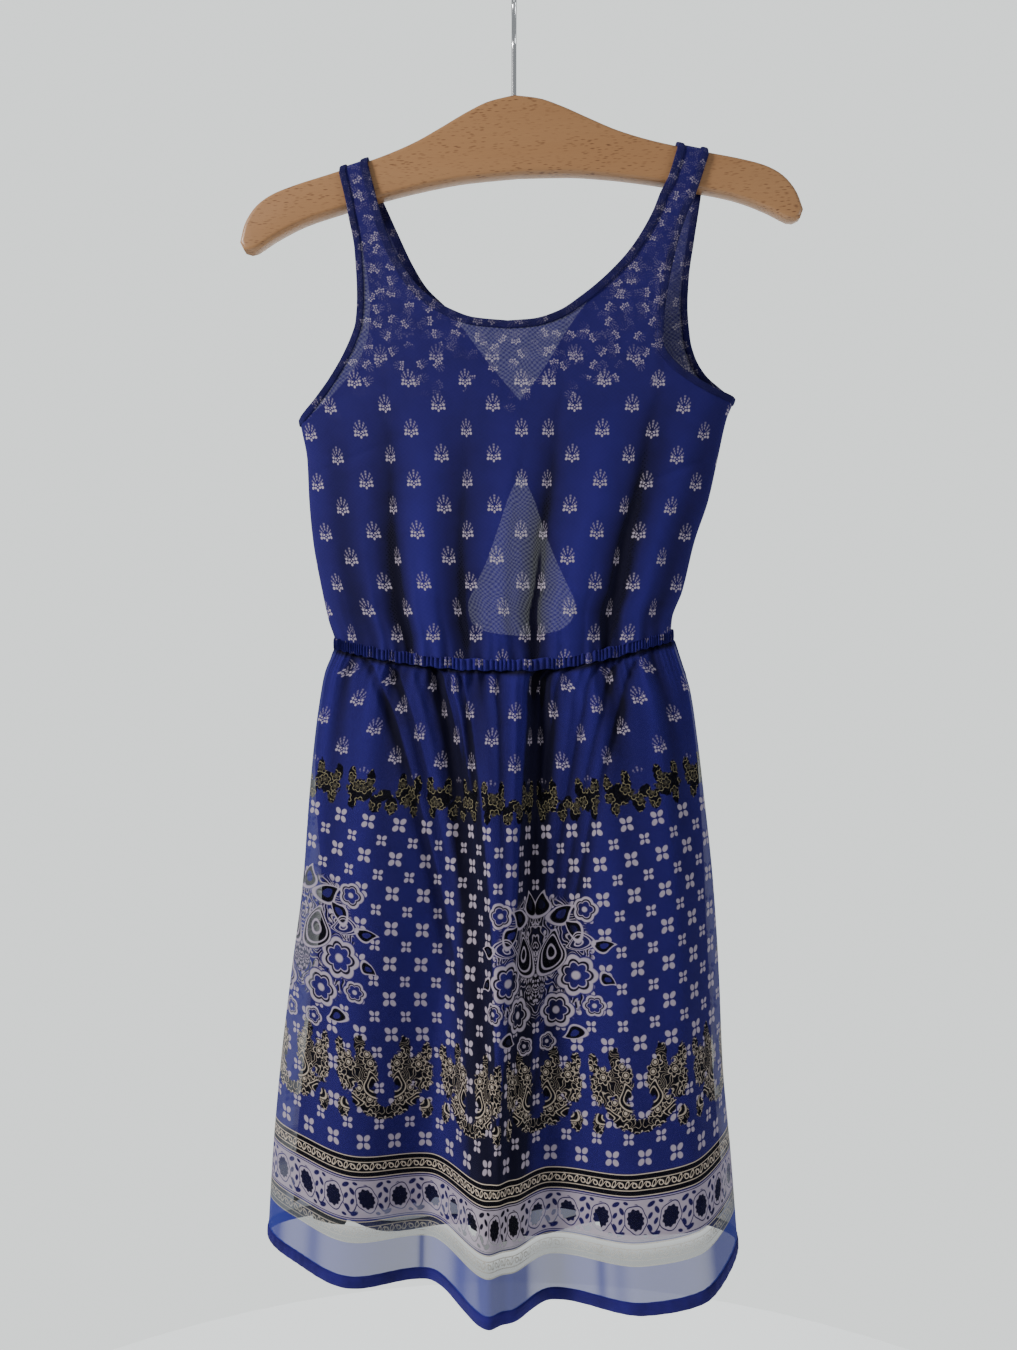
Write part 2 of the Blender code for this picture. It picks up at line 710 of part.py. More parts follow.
def hook_route():
    """The wire's middle line: up from the bore, forward, over the top and down behind."""
    centre = -HOOK_RADIUS + WIRE / 2
    foot = HANGER_TOP - BORE_DEPTH + GAP
    points = [(0, foot + (STEM_BEND - foot) * k / 4) for k in range(5)]
    leave_y = HOOK_RADIUS * math.sin(HOOK_LEAVES)
    leave_z = centre + HOOK_RADIUS * math.cos(HOOK_LEAVES)
    for k in range(1, 5):
        t = k / 5
        points.append((leave_y * ease(t) * 0.9 + leave_y * 0.1 * t, STEM_BEND + (leave_z - STEM_BEND) * t))
    steps = 22
    for k in range(steps + 1):
        turn = HOOK_LEAVES + (HOOK_TIP - HOOK_LEAVES) * k / steps
        points.append((HOOK_RADIUS * math.sin(turn), centre + HOOK_RADIUS * math.cos(turn)))
    return [(0, y, z) for y, z in points]


def hanger_hook(material):
    wire = bpy.data.curves.new("hanger_hook", "CURVE")
    wire.dimensions = "3D"
    wire.bevel_depth = WIRE / 2
    wire.bevel_resolution = 3
    wire.use_fill_caps = True
    route = hook_route()
    line = wire.splines.new("POLY")
    line.points.add(len(route) - 1)
    for point, place in zip(line.points, route):
        point.co = (*place, 1)
    wire.materials.append(material)
    hook = bpy.data.objects.new("hanger_hook", wire)
    bpy.context.scene.collection.objects.link(hook)
    return hook


def main():
    clear_scene()
    chiffon = finish("blue printed chiffon", (0.02, 0.022, 0.16), 0.7)
    trim = finish("navy binding", (0.012, 0.012, 0.08), 0.7)
    lining = finish("navy lining", (0.01, 0.012, 0.09), 0.6)
    beech = finish("beech wood", (0.5, 0.28, 0.13), 0.5)
    chrome = finish("chromed wire", (0.75, 0.75, 0.76), 0.2, 1.0)
    bodice_front(chiffon)
    bodice_back(chiffon)
    bindings(trim)
    casing(trim)
    skirt(chiffon, trim, lining)
    hanger_wood(beech)
    hanger_hook(chrome)


main()
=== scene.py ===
# %% [markdown]
# # A printed chiffon dress on its wooden hanger
# The CAD model gives the dress as plain walls at their real size. This lesson dresses it: thin cloth
# with its folds, a sheer printed finish, bound edges, a ruched waist, and a lacquered beech hanger.
# Everything is in metres, with the origin where a rail would carry the hook.

# %% Load the frame
import math

import bmesh
import bpy
import numpy as np
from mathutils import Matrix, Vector


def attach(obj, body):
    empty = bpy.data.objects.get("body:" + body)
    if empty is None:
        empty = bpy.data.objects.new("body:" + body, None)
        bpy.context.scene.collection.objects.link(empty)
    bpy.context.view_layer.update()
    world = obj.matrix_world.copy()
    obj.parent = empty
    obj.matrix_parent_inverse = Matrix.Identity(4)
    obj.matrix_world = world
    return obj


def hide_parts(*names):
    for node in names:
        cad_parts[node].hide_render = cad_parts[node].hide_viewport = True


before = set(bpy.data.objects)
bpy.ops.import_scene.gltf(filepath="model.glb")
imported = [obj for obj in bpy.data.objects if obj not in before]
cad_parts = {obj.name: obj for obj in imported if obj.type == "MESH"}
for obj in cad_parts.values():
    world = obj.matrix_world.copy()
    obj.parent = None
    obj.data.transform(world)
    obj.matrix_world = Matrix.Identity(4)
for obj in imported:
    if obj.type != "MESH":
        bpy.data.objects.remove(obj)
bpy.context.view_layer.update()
bpy.ops.object.select_all(action="DESELECT")
MM = 0.001
print("the frame has", len(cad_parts), "CAD nodes")

# %% [markdown]
# The camera stands level in front of the skirt's top, a little left of the hook, and quite near, so
# it looks a little down on the hem and a little up at the hanger. Its lens is a phone's wide one.
# Depth of field stays off.

# %% Camera
CAMERA_PLACE = (-0.0042, -0.820, -0.5443)
LENS = 28.47
camera_data = bpy.data.cameras.new("camera")
camera_data.lens = LENS
camera_data.sensor_width = 36
camera_data.clip_start = 0.02
camera = bpy.data.objects.new("camera", camera_data)
camera.location = CAMERA_PLACE
camera.rotation_euler = (math.radians(90), 0, 0)
bpy.context.scene.collection.objects.link(camera)
bpy.context.scene.camera = camera
print("camera", round(-CAMERA_PLACE[1], 3), "m in front of the dress")

# %% [markdown]
# A garment is drafted from a few measures at named stations. A short table holds them, and a smooth
# curve that never swings past its points joins them. Working the form out this way keeps each measure
# in one place, where a mesh that was pushed about by hand would hide it.

# %% Tables and the curve through them
def columns(names, *rows):
    """A short table: a named column for each measure, a row for each station."""
    plain = ("share", "power", "dark")
    return {
        name: np.array(column, float) * (1 if name in plain else MM)
        for name, column in zip(names.split(), zip(*rows))
    }


def smooth(xs, ys, at):
    """The smooth curve through a table's points that never swings past them."""
    xs, ys = np.asarray(xs, float), np.asarray(ys, float)
    steps = np.diff(xs)
    slopes = np.diff(ys) / steps
    bends = np.zeros(len(xs))
    same = slopes[:-1] * slopes[1:] > 0
    bends[1:-1][same] = 2 * slopes[:-1][same] * slopes[1:][same] / (slopes[:-1] + slopes[1:])[same]
    bends[0], bends[-1] = slopes[0], slopes[-1]
    at = np.clip(at, xs[0], xs[-1])
    k = np.clip(np.searchsorted(xs, at) - 1, 0, len(xs) - 2)
    t = (at - xs[k]) / steps[k]
    start = ys[k] * (1 + 2 * t) * (1 - t) ** 2 + bends[k] * steps[k] * t * (1 - t) ** 2
    end = ys[k + 1] * t * t * (3 - 2 * t) + bends[k + 1] * steps[k] * t * t * (t - 1)
    return start + end


def run_along(points):
    """How far along each row of points every point is."""
    steps = np.linalg.norm(np.diff(points, axis=-2), axis=-1)
    return np.concatenate([np.zeros(steps.shape[:-1] + (1,)), np.cumsum(steps, axis=-1)], axis=-1)


def along(table, count):
    """count + 1 evenly spaced points on the smooth curve through a table of edge points."""
    points = np.stack(list(table.values())[:2], axis=1) if isinstance(table, dict) else table
    run = run_along(points)
    at = np.linspace(0, run[-1], count + 1)
    return np.stack([smooth(run, points[:, 0], at), smooth(run, points[:, 1], at)], axis=1)


def ease(t):
    t = np.clip(t, 0, 1)
    return t * t * (3 - 2 * t)


print("a quarter of the way up a soft step:", float(ease(0.25)))

# %% [markdown]
# The hanger's outline comes first, because its top edge says where each strap turns over. It hangs a
# little down to the left. These are the part's own measures, in millimetres, level from the hook out.

# %% The hanger's outline
HANGER_TILT = math.radians(3.35)
HANGER_TOP = -101.2 * MM
WOOD_THICKNESS = 14 * MM
WOOD_ROUNDING = 3.5 * MM
WIRE = 3.8 * MM
BORE_DEPTH = 16 * MM
BORE_ROOM = 0.4 * MM
WOOD_ABOVE = columns(
    "out height",
    (0, 0), (19, -3.5), (35, -10), (57, -21.3), (77, -31.2), (100, -39.8), (123, -46.5),
    (148, -53), (170, -58.6), (189, -65), (202, -73.5), (211.5, -87), (215.5, -100),
)
WOOD_BELOW = columns(
    "out height",
    (213, -106), (207, -108), (200, -105), (189, -98.5), (164, -87.5), (135, -79.7),
    (103, -72), (66, -65.3), (38, -62), (0, -60.5),
)


def tilted(out, height):
    c, s = math.cos(HANGER_TILT), math.sin(HANGER_TILT)
    return out * c - height * s, HANGER_TOP + out * s + height * c


def wood_outline(above_count, below_count):
    """The outline's corners: the upper edge from left to right, then the lower edge back."""
    half = np.concatenate([along(WOOD_ABOVE, above_count), along(WOOD_BELOW, below_count)])
    left = [(-out, height) for out, height in half[1:-1]]
    return [tilted(out, height) for out, height in list(half) + left[::-1]]


WOOD_EDGE = np.array(
    sorted(tilted(way * out, height) for way in (-1, 1) for out, height in along(WOOD_ABOVE, 40))
)


def wood_top(across):
    """The height of the wood's upper edge."""
    return np.interp(across, WOOD_EDGE[:, 0], WOOD_EDGE[:, 1])


print("the wood is", round((WOOD_EDGE[-1, 0] - WOOD_EDGE[0, 0]) / MM), "mm long")

# %% [markdown]
# The bodice is cut as a scoop neck with wide straps in front, and as a V with a teardrop keyhole at
# the back. Its cut edges and its girth at a few heights are the same numbers as in the CAD model.

# %% The bodice's measures
GAP, CLOTH = 0.3 * MM, 1.4 * MM
NECK_BINDING, ARM_BINDING, KEYHOLE_BINDING, BINDING_PROUD = 6.5 * MM, 5.5 * MM, 4.5 * MM, 0.5 * MM
CASING_HEIGHT, CASING_WALL = 9 * MM, 2.6 * MM
HEM_BAND, HEM_WALL = 8.5 * MM, 2.2 * MM
WRAP_DEPTH = WOOD_THICKNESS / 2 + CLOTH + BINDING_PROUD + 0.6 * MM
WRAP_RISE, WRAP_DROP, WRAP_LENGTH, STRAP_SETTLES = 3.8 * MM, 4 * MM, 13 * MM, 60 * MM
FRONT_CENTRE, BACK_CENTRE = -5 * MM, 5 * MM
FRONT, BACK = -1, 1
SIDES = {FRONT: "front", BACK: "back"}
FRONT_NECK_LEFT = columns(
    "across height",
    (-111, -165), (-103, -187), (-97, -206), (-89, -225), (-75, -247), (-62, -259),
    (-49, -267), (-30, -274), (-5, -276.5),
)
FRONT_NECK_RIGHT = columns(
    "across height",
    (124, -153), (117, -166), (111, -178), (105, -193), (89, -220), (70, -241), (51, -257),
    (33, -269), (14, -275), (-5, -276.5),
)
FRONT_ARM_LEFT = columns(
    "across height",
    (-133, -169), (-128, -184), (-126, -195), (-121, -222), (-119, -260), (-120, -277),
    (-124, -290), (-131, -305), (-141, -321), (-153, -336), (-165, -348),
)
FRONT_ARM_RIGHT = columns(
    "across height",
    (148, -156), (137, -182), (130, -198), (121, -229), (117, -250), (114, -271),
    (113, -293), (119, -304), (133, -316), (152, -326), (170, -332),
)
BACK_NECK_LEFT = columns(
    "across height",
    (-111, -160), (-99, -182), (-89, -204), (-79, -225), (-68, -243), (-50, -261),
    (-38, -277), (-15, -307), (5, -330),
)
BACK_NECK_RIGHT = columns(
    "across height",
    (124, -150), (117, -170), (101, -198), (76, -231), (59, -251), (40, -278), (23, -306),
    (5, -330),
)
BACK_ARM_LEFT = columns(
    "across height",
    (-133, -165), (-124, -190), (-116, -222), (-112, -255), (-113, -278), (-118, -294),
    (-128, -311), (-143, -329), (-155, -341), (-165, -348),
)
BACK_ARM_RIGHT = columns(
    "across height",
    (148, -152), (145, -174), (140, -207), (136, -236), (135, -257), (137, -283),
    (141, -298), (149, -312), (159, -322), (170, -332),
)
KEYHOLE_LEFT = columns(
    "across height",
    (5, -385), (-5, -407), (-13, -431), (-21, -454), (-30, -474), (-36, -490), (-33, -503),
    (-19, -511), (5, -514),
)
KEYHOLE_RIGHT = columns(
    "across height",
    (5, -385), (16, -407), (24, -431), (33, -454), (42, -474), (48, -490), (44, -503),
    (30, -511), (5, -514),
)
BODICE = columns(
    "height left right front back power",
    (-540, -137, 122, 13, 11, 2.0),
    (-520, -137.5, 121, 17, 13, 2.0),
    (-501, -143, 122, 22, 15, 2.0),
    (-479, -148, 130, 25, 18, 2.0),
    (-441, -155, 139.5, 26, 19, 2.1),
    (-410, -158, 150, 25, 18, 2.2),
    (-379, -159.5, 157, 24, 17, 2.4),
    (-348, -165, 164, 22, 16, 2.6),
    (-332, -166, 170, 20, 15, 3.0),
    (-300, -170, 174, 17, 13, 4.0),
    (-250, -173, 178, 13, 11, 6.0),
    (-150, -175, 180, 11, 10, 8.0),
)
WAIST = columns(
    "share height",
    (-1, -520), (-0.75, -527.5), (-0.5, -532.5), (-0.2, -536.3), (0.1, -536.8),
    (0.35, -534.5), (0.6, -528), (0.8, -521), (1, -514),
)
print("bust", round((BODICE["right"][7] - BODICE["left"][7]) / MM), "mm across as it hangs")

# %% [markdown]
# Soft folds make chiffon look like chiffon. Each is listed: where it stands as a share of the half
# width, how wide it is, and how deep. Inwards is positive, so a minus makes a ridge. The wide ones are
# in the CAD model too, and the narrow ones are added here.

# %% The bodice's folds
FRONT_CREASES = columns(
    "share power depth",
    (-0.8, 0.07, 2.5), (-0.57, 0.07, 4), (-0.4, 0.08, -2.5), (-0.22, 0.09, 3), (0, 0.08, -2),
    (0.18, 0.07, 4), (0.4, 0.09, -3), (0.62, 0.08, 5), (0.77, 0.06, -2), (0.88, 0.05, 2),
)
BACK_CREASES = columns(
    "share power depth",
    (-0.75, 0.08, 3), (-0.5, 0.09, -2.5), (-0.3, 0.06, 2.5), (0.36, 0.07, 2.5), (0.55, 0.08, -3),
    (0.74, 0.07, 3.5),
)
FRONT_TUCKS = columns(
    "share power depth length",
    (-0.88, 0.018, 1.0, 45), (-0.7, 0.02, -0.9, 60), (-0.55, 0.022, 1.5, 150),
    (-0.47, 0.02, -0.8, 70), (-0.33, 0.018, 0.8, 50), (-0.21, 0.022, 1.3, 130),
    (-0.08, 0.02, -0.8, 60), (0.045, 0.03, 1.3, 130), (0.19, 0.024, 1.6, 170),
    (0.31, 0.02, -0.9, 75), (0.47, 0.018, 0.8, 60), (0.6, 0.024, 1.8, 190),
    (0.7, 0.02, -0.9, 80), (0.82, 0.018, 0.9, 50),
)
BACK_TUCKS = columns(
    "share power depth length",
    (-0.85, 0.02, 1.1, 60), (-0.66, 0.022, -0.9, 80), (-0.44, 0.022, 1.4, 120),
    (-0.2, 0.02, 0.9, 60), (0.24, 0.02, 0.9, 60), (0.47, 0.022, 1.3, 130),
    (0.63, 0.02, -0.9, 70), (0.86, 0.02, 1.1, 60),
)
DARTS = columns("across height slope depth", (-146, -389, 22, 1.1), (144, -381, -26, 1.4))


def share_across(across, height):
    left = smooth(BODICE["height"], BODICE["left"], height)
    right = smooth(BODICE["height"], BODICE["right"], height)
    return (2 * across - left - right) / (right - left)


def waist_height(share):
    return smooth(WAIST["share"], WAIST["height"], share)


def creases(share, height, side):
    """The soft folds over the gathered waist, fading up the bodice."""
    up = (height - waist_height(share)) / (200 * MM)
    table = FRONT_CREASES if side == FRONT else BACK_CREASES
    at = share * (1 - 0.06 * up)
    waves = sum(
        depth * np.exp(-(((at - place) / width) ** 2))
        for place, width, depth in zip(table["share"], table["power"], table["depth"])
    )
    fade = np.minimum(1, 0.45 + 4 * np.maximum(up, 0)) * np.clip(1 - np.maximum(up, 0), 0, 1) ** 0.8
    return waves * fade


def tucks(share, height, side):
    """Narrow tucks that the elastic draws up, the small ripples over them, and the bust darts."""
    up = np.maximum(height - waist_height(share), 0)
    table = FRONT_TUCKS if side == FRONT else BACK_TUCKS
    at = share * (1 - 0.3 * up)
    deep = sum(
        depth * np.exp(-(((at - place) / width) ** 2)) * np.exp(-((up / length) ** 2))
        for place, width, depth, length in zip(*table.values())
    )
    turn = 74 * at + 1.4 * np.sin(9 * at) + 0.8 * np.sin(21 * at + 1)
    deep = deep + 0.75 * MM * np.cos(turn) * np.exp(-up / (16 * MM))
    return deep


def dart_folds(across, height, side):
    """Shallow pulls that run in from the side seams at the bust."""
    if side == BACK:
        return 0.0
    deep = 0.0
    for place, level, slope, depth in zip(*DARTS.values()):
        inwards = (across - place) * -np.sign(place) / (60 * MM)
        line = level + slope * inwards
        near = np.exp(-(((height - line) / (3.2 * MM)) ** 2))
        deep = deep + depth * near * ease(1.15 - np.abs(inwards)) * ease(inwards * 6 + 1)
    return deep


print(len(FRONT_CREASES["share"]) + len(FRONT_TUCKS["share"]), "folds and tucks across the front")

# %% [markdown]
# Every piece of the bodice lies on one surface, read by a flat place: across, and a rise that goes on
# along the cloth where the strap turns over the wood. The bindings can then be laid on the same cloth,
# and none of them has to be fitted afterwards.

# %% The bodice's surface
QUARTER = math.pi / 2
SIDEWAYS = np.array([1.0, 0, 0])
ANGLE_STEP = 0.004


def wrap_start(across):
    return wood_top(across) - WRAP_DROP


def bodice_surface(across, rise, side):
    """Places on the outside of the bodice. Side is FRONT or BACK."""
    across, rise = np.asarray(across, float), np.asarray(rise, float)
    start = wrap_start(across)
    share = share_across(across, rise)
    power = smooth(BODICE["height"], BODICE["power"], rise)
    full = smooth(BODICE["height"], BODICE[SIDES[side]], rise)
    turn_in = np.sqrt(1 - np.minimum(np.abs(share), 1) ** power)
    folds = creases(share, rise, side) + tucks(share, rise, side) + dart_folds(across, rise, side)
    deep = (full - folds) * turn_in
    deep = WRAP_DEPTH + (deep - WRAP_DEPTH) * ease((start - rise) / STRAP_SETTLES)
    turn = (rise - start) / WRAP_LENGTH * QUARTER
    over = rise > start
    deep = np.where(over, WRAP_DEPTH * np.cos(turn), deep)
    height = np.where(over, start + (WRAP_DROP + WRAP_RISE) * np.sin(turn), rise)
    return np.stack([across, side * np.maximum(deep, GAP / 2), height], axis=-1)


def level_out(after, before, side):
    """The level way out of a surface, from a place on either side of each."""
    over = after - before
    level = np.stack([-over[..., 1] * side, over[..., 0] * side, 0 * over[..., 0]], axis=-1)
    return level / (np.linalg.norm(level, axis=-1)[..., None] + 1e-12)


def bodice_normal(across, rise, side):
    """The way out of the cloth. Hanging cloth is measured level."""
    step = 0.5 * MM
    after, before = (bodice_surface(across + way * step, rise, side) for way in (1, -1))
    level = level_out(after, before, side)
    start = wrap_start(across)
    turn = (rise - start) / WRAP_LENGTH * QUARTER
    over_wood = np.stack([0 * turn, side * np.cos(turn), np.sin(turn)], axis=-1)
    share = share_across(across, rise)[..., None]
    level = np.where(np.abs(share) > 0.995, np.sign(share) * SIDEWAYS, level)
    return np.where((rise > start)[..., None], over_wood, level)


def keep_side(points, side):
    """Front pieces stay in front of the seams' plane, and back pieces behind it."""
    points[..., 1] = side * np.maximum(side * points[..., 1], GAP / 2)
    return points


def lifted(surface, angle, side, lift):
    """Places a distance outwards from a surface read by an angle, measured level."""
    after = surface(np.minimum(angle + ANGLE_STEP, QUARTER))
    before = surface(np.maximum(angle - ANGLE_STEP, -QUARTER))
    edge = (np.abs(angle) > QUARTER - 0.001)[..., None]
    sideways = np.sign(angle)[..., None] * SIDEWAYS
    level = np.where(edge, sideways, level_out(after, before, side))
    return keep_side(surface(angle) + level * lift, side)


def on_bodice(across, rise, side, lift):
    """Places a distance outwards from the bodice's outside."""
    points = bodice_surface(across, rise, side)
    return keep_side(points + bodice_normal(across, rise, side) * lift, side)


print("the front stands out", round(-float(bodice_surface(0, -0.44, FRONT)[1]) / MM, 1), "mm")

# %% [markdown]
# The edges are followed from the shoulder down. A line a few millimetres inside an edge is where a
# binding ends and the cloth shows.

# %% Cut edges
WRAP_ROWS = 10


def moved_in(edge, distance, way):
    """The line a distance to one side of a flat line."""
    run = np.gradient(edge, axis=0)
    run /= np.linalg.norm(run, axis=1)[:, None]
    return edge + distance * way * np.stack([-run[:, 1], run[:, 0]], axis=1)


def cut_edge(table, count, inwards=0.0, way=1, last=None):
    """A cut edge's flat places from the shoulder seam down, or the line that far inside it."""
    points = np.stack([table["across"], table["height"]], axis=1)
    points[0, 1] = wrap_start(points[0, 0])
    edge = along(points, count)
    if inwards:
        edge = moved_in(edge, inwards, way)
        edge[0, 1] = wrap_start(edge[0, 0])
    if last is not None:
        edge[-1] = last
    top = edge[0, 0]
    rises = wrap_start(top) + WRAP_LENGTH * (1 - np.arange(WRAP_ROWS) / WRAP_ROWS)
    return np.concatenate([np.stack([np.full(WRAP_ROWS, top), rises], axis=1), edge])


def side_seam(height, way):
    return smooth(BODICE["height"], BODICE["left" if way < 0 else "right"], height)


def keyhole_edge(table, count, inwards, way):
    edge = along(table, count)
    if inwards:
        edge = moved_in(edge, inwards, way)
        edge[0, 0] = edge[-1, 0] = BACK_CENTRE
        edge[0, 1] = table["height"][0] + inwards * 1.6
        edge[-1, 1] = table["height"][-1] - inwards
    return edge


def underarm(way, table, inwards):
    """The flat place on the side seam where a line inside the armhole meets it."""
    corner = table["height"][-1] - inwards * 1.1
    return float(side_seam(corner, way)), corner


def centre_line(start, end, count):
    return np.linspace(start, end, count + 1)


print("armhole edge", len(cut_edge(FRONT_ARM_LEFT, 60)), "stations")

# %% [markdown]
# A print lies on the cloth and not on the air round it, so each sheet carries its own flat
# coordinates: metres across the cloth from the print's middle, and metres up from the hem. Where the
# waist gathers the cloth, some of it is hidden in each fold. The hidden cloth is added to the across
# coordinate at the fold, and the print is cut there, as it is on the real dress.

# %% Cloth coordinates
PRINT_MIDDLE = 15.5 * MM
HEM_LEVEL = -990 * MM
BODICE_WIDTH = 352 * MM
HIDDEN_IN_BODICE = columns(
    "share part",
    (-0.86, 110), (-0.56, 200), (-0.22, 140), (0.05, 60), (0.19, 150), (0.6, 220), (0.86, 120),
)
BODICE_FOLD_WIDTH = 0.08
SPARE_IN_FOLDS = 0.8


def hidden_cloth(share, spare):
    """How much of the spare cloth the bodice's folds to the left of a place hide."""
    total = HIDDEN_IN_BODICE["part"].sum()
    return sum(
        spare * part / total * ease((share - place) / BODICE_FOLD_WIDTH + 0.5)
        for place, part in zip(*HIDDEN_IN_BODICE.values())
    )


def bodice_spare(rise):
    """The cloth that the folds take up at a height, over what shows."""
    left, right = (smooth(BODICE["height"], BODICE[edge], rise) for edge in ("left", "right"))
    return np.maximum(BODICE_WIDTH - (right - left), 0) * SPARE_IN_FOLDS


def bodice_print(points, flat):
    """Cloth coordinates for a half bodice's rows, which run from its inner edge outwards."""
    across, rise = flat[..., 0], flat[..., 1]
    way = np.sign(across[:, -1:] - across[:, :1])
    spare = bodice_spare(rise)
    hidden = hidden_cloth(share_across(across, rise), spare)
    middle = hidden_cloth(share_across(PRINT_MIDDLE, rise), spare)
    u = across[:, :1] - PRINT_MIDDLE + way * run_along(points[..., :2]) + hidden - middle
    return np.stack([u, rise - HEM_LEVEL], axis=-1)


print("cloth for a bodice front", round(BODICE_WIDTH / MM), "mm wide")

# %% [markdown]
# One helper turns rows of points into a sheet, with its cloth coordinates as a UV map. Two vertex
# attributes say how folded the cloth is, which carries painted fold shade and makes the cloth denser,
# and where no lining hangs behind it. Single sheets suit sheer cloth, because light then passes each
# layer once. A second helper sweeps a closed section, for bindings, casing, hem and wire.

# %% Sheet and sweep builders
def new_object(name, vertices, faces, uvs=None, merge=0.0, marks=None):
    mesh = bpy.data.meshes.new(name)
    mesh.from_pydata([tuple(v) for v in vertices], [], faces)
    if uvs is not None:
        layer = mesh.uv_layers.new(name="cloth")
        corners = np.zeros(len(mesh.loops), int)
        mesh.loops.foreach_get("vertex_index", corners)
        layer.data.foreach_set("uv", np.asarray(uvs, float)[corners].ravel())
    for mark, values in (marks or {}).items():
        mesh.attributes.new(mark, "FLOAT", "POINT").data.foreach_set("value", values)
    if merge:
        shape = bmesh.new()
        shape.from_mesh(mesh)
        bmesh.ops.remove_doubles(shape, verts=shape.verts, dist=merge)
        shape.to_mesh(mesh)
        shape.free()
    mesh.shade_smooth()
    made = bpy.data.objects.new(name, mesh)
    bpy.context.scene.collection.objects.link(made)
    return made


def sheet_of(name, grids, side):
    """An open sheet from grids of points, cloth coordinates, how folded it is (painted fold shade), and how
    unlined it is.
    """
    vertices, uvs, folded, unlined, faces, first = [], [], [], [], [], 0
    for points, flat, fold, *bare in grids:
        rows, count = points.shape[:2]
        vertices.append(points.reshape(-1, 3))
        uvs.append(flat.reshape(-1, 2))
        folded.append(np.broadcast_to(fold, (rows, count)).ravel())
        unlined.append(np.broadcast_to(bare[0] if bare else 0.0, (rows, count)).ravel())
        k = first + np.arange((rows - 1) * count).reshape(rows - 1, count)[:, :-1].ravel()
        quads = np.stack([k, k + count, k + count + 1, k + 1], axis=1)
        faces += (quads if side == FRONT else quads[:, ::-1]).tolist()
        first += rows * count
    marks = {"folded": np.concatenate(folded), "unlined": np.concatenate(unlined)}
    return new_object(name, np.concatenate(vertices), faces, np.concatenate(uvs), 1e-5, marks)


def sweep_of(name, rings, uvs, closed=False):
    """A closed tube through rings of points, capped at its ends unless it closes on itself."""
    stations, ring = rings.shape[:2]
    faces = []
    for k in range(stations if closed else stations - 1):
        a, b = k * ring, (k + 1) % stations * ring
        faces += [(a + j, a + (j + 1) % ring, b + (j + 1) % ring, b + j) for j in range(ring)]
    if not closed:
        faces += [tuple(range(ring))[::-1], tuple((stations - 1) * ring + j for j in range(ring))]
    made = new_object(name, rings.reshape(-1, 3), faces, uvs.reshape(-1, 2))
    shape = bmesh.new()
    shape.from_mesh(made.data)
    bmesh.ops.recalc_face_normals(shape, faces=shape.faces)
    shape.to_mesh(made.data)
    shape.free()
    return made


print("builders ready")

# %% [markdown]
# The bodice front: one piece with a scoop neck. Each half is a grid from its armhole and side seam
# to its neck edge and centre line, and the halves meet there.

# %% Bodice front and back
ACROSS = 110
NECK_ROWS, BODY_ROWS = 90, 150
EDGE_SINKS = 1.5 * MM


def half_bodice(outer, inner, side, first_body_row):
    """The grid between a half bodice's outer edge and its inner edge."""
    last = len(outer) - 1
    k = np.arange(last + 1)[:, None]
    low = np.maximum(0, k - first_body_row) / (last - first_body_row)
    share = np.linspace(0, 1, ACROSS + 1)[None, :]
    flat = inner[:, None, :] + (outer - inner)[:, None, :] * share[..., None]
    straight = flat[-1]
    foot = waist_height(share_across(straight[:, 0], straight[:, 1])) + CASING_HEIGHT / 2 - EDGE_SINKS
    flat[..., 1] += (foot - straight[:, 1])[None, :] * low**2
    wrap = wrap_start(flat[..., 0]) + WRAP_LENGTH * (1 - k / WRAP_ROWS)
    flat[..., 1] = np.where(k < WRAP_ROWS, wrap, flat[..., 1])
    points = on_bodice(flat[..., 0], flat[..., 1], side, -CLOTH / 2)
    points[first_body_row + 1 :, -1, 1] = 0
    share = share_across(flat[..., 0], flat[..., 1])
    # Painted shade: the third value darkens the hollows of creases and tucks, and makes the doubled cloth
    # denser there.
    hollow = creases(share, flat[..., 1], side) + tucks(share, flat[..., 1], side)
    return points, bodice_print(points, flat), np.clip(0.3 + hollow / (5.5 * MM), 0, 1)


def body_edge(way, arm_table, arm_rows, rows):
    """The outer edge: just inside the armhole's binding, then down the side seam."""
    inwards = ARM_BINDING - EDGE_SINKS
    meet = underarm(way, arm_table, inwards)
    arm = cut_edge(arm_table, arm_rows, inwards, -way, meet)
    foot = float(waist_height(way)) + CASING_HEIGHT / 2
    heights = np.linspace(meet[1], foot, rows + 1)[1:]
    return np.concatenate([arm, np.stack([side_seam(heights, way), heights], axis=1)])


def left_to_right(way, grid):
    return [values[:, ::-1] for values in grid] if way < 0 else grid


def bodice_front():
    grids = []
    for way, neck, arm in ((-1, FRONT_NECK_LEFT, FRONT_ARM_LEFT), (1, FRONT_NECK_RIGHT, FRONT_ARM_RIGHT)):
        inwards = NECK_BINDING - EDGE_SINKS
        low = (FRONT_CENTRE, neck["height"][-1] - inwards)
        chest_rows = 30
        neckline = cut_edge(neck, NECK_ROWS, inwards, way, low)
        waist = (FRONT_CENTRE, float(waist_height(0)) + CASING_HEIGHT / 2)
        inner = np.concatenate([neckline, centre_line(low, waist, chest_rows + BODY_ROWS)[1:]])
        outer = body_edge(way, arm, NECK_ROWS + chest_rows, BODY_ROWS)
        grid = half_bodice(outer, inner, FRONT, WRAP_ROWS + NECK_ROWS + chest_rows)
        grids.append(left_to_right(way, grid))
    return sheet_of("bodice_front_cloth", grids, FRONT)


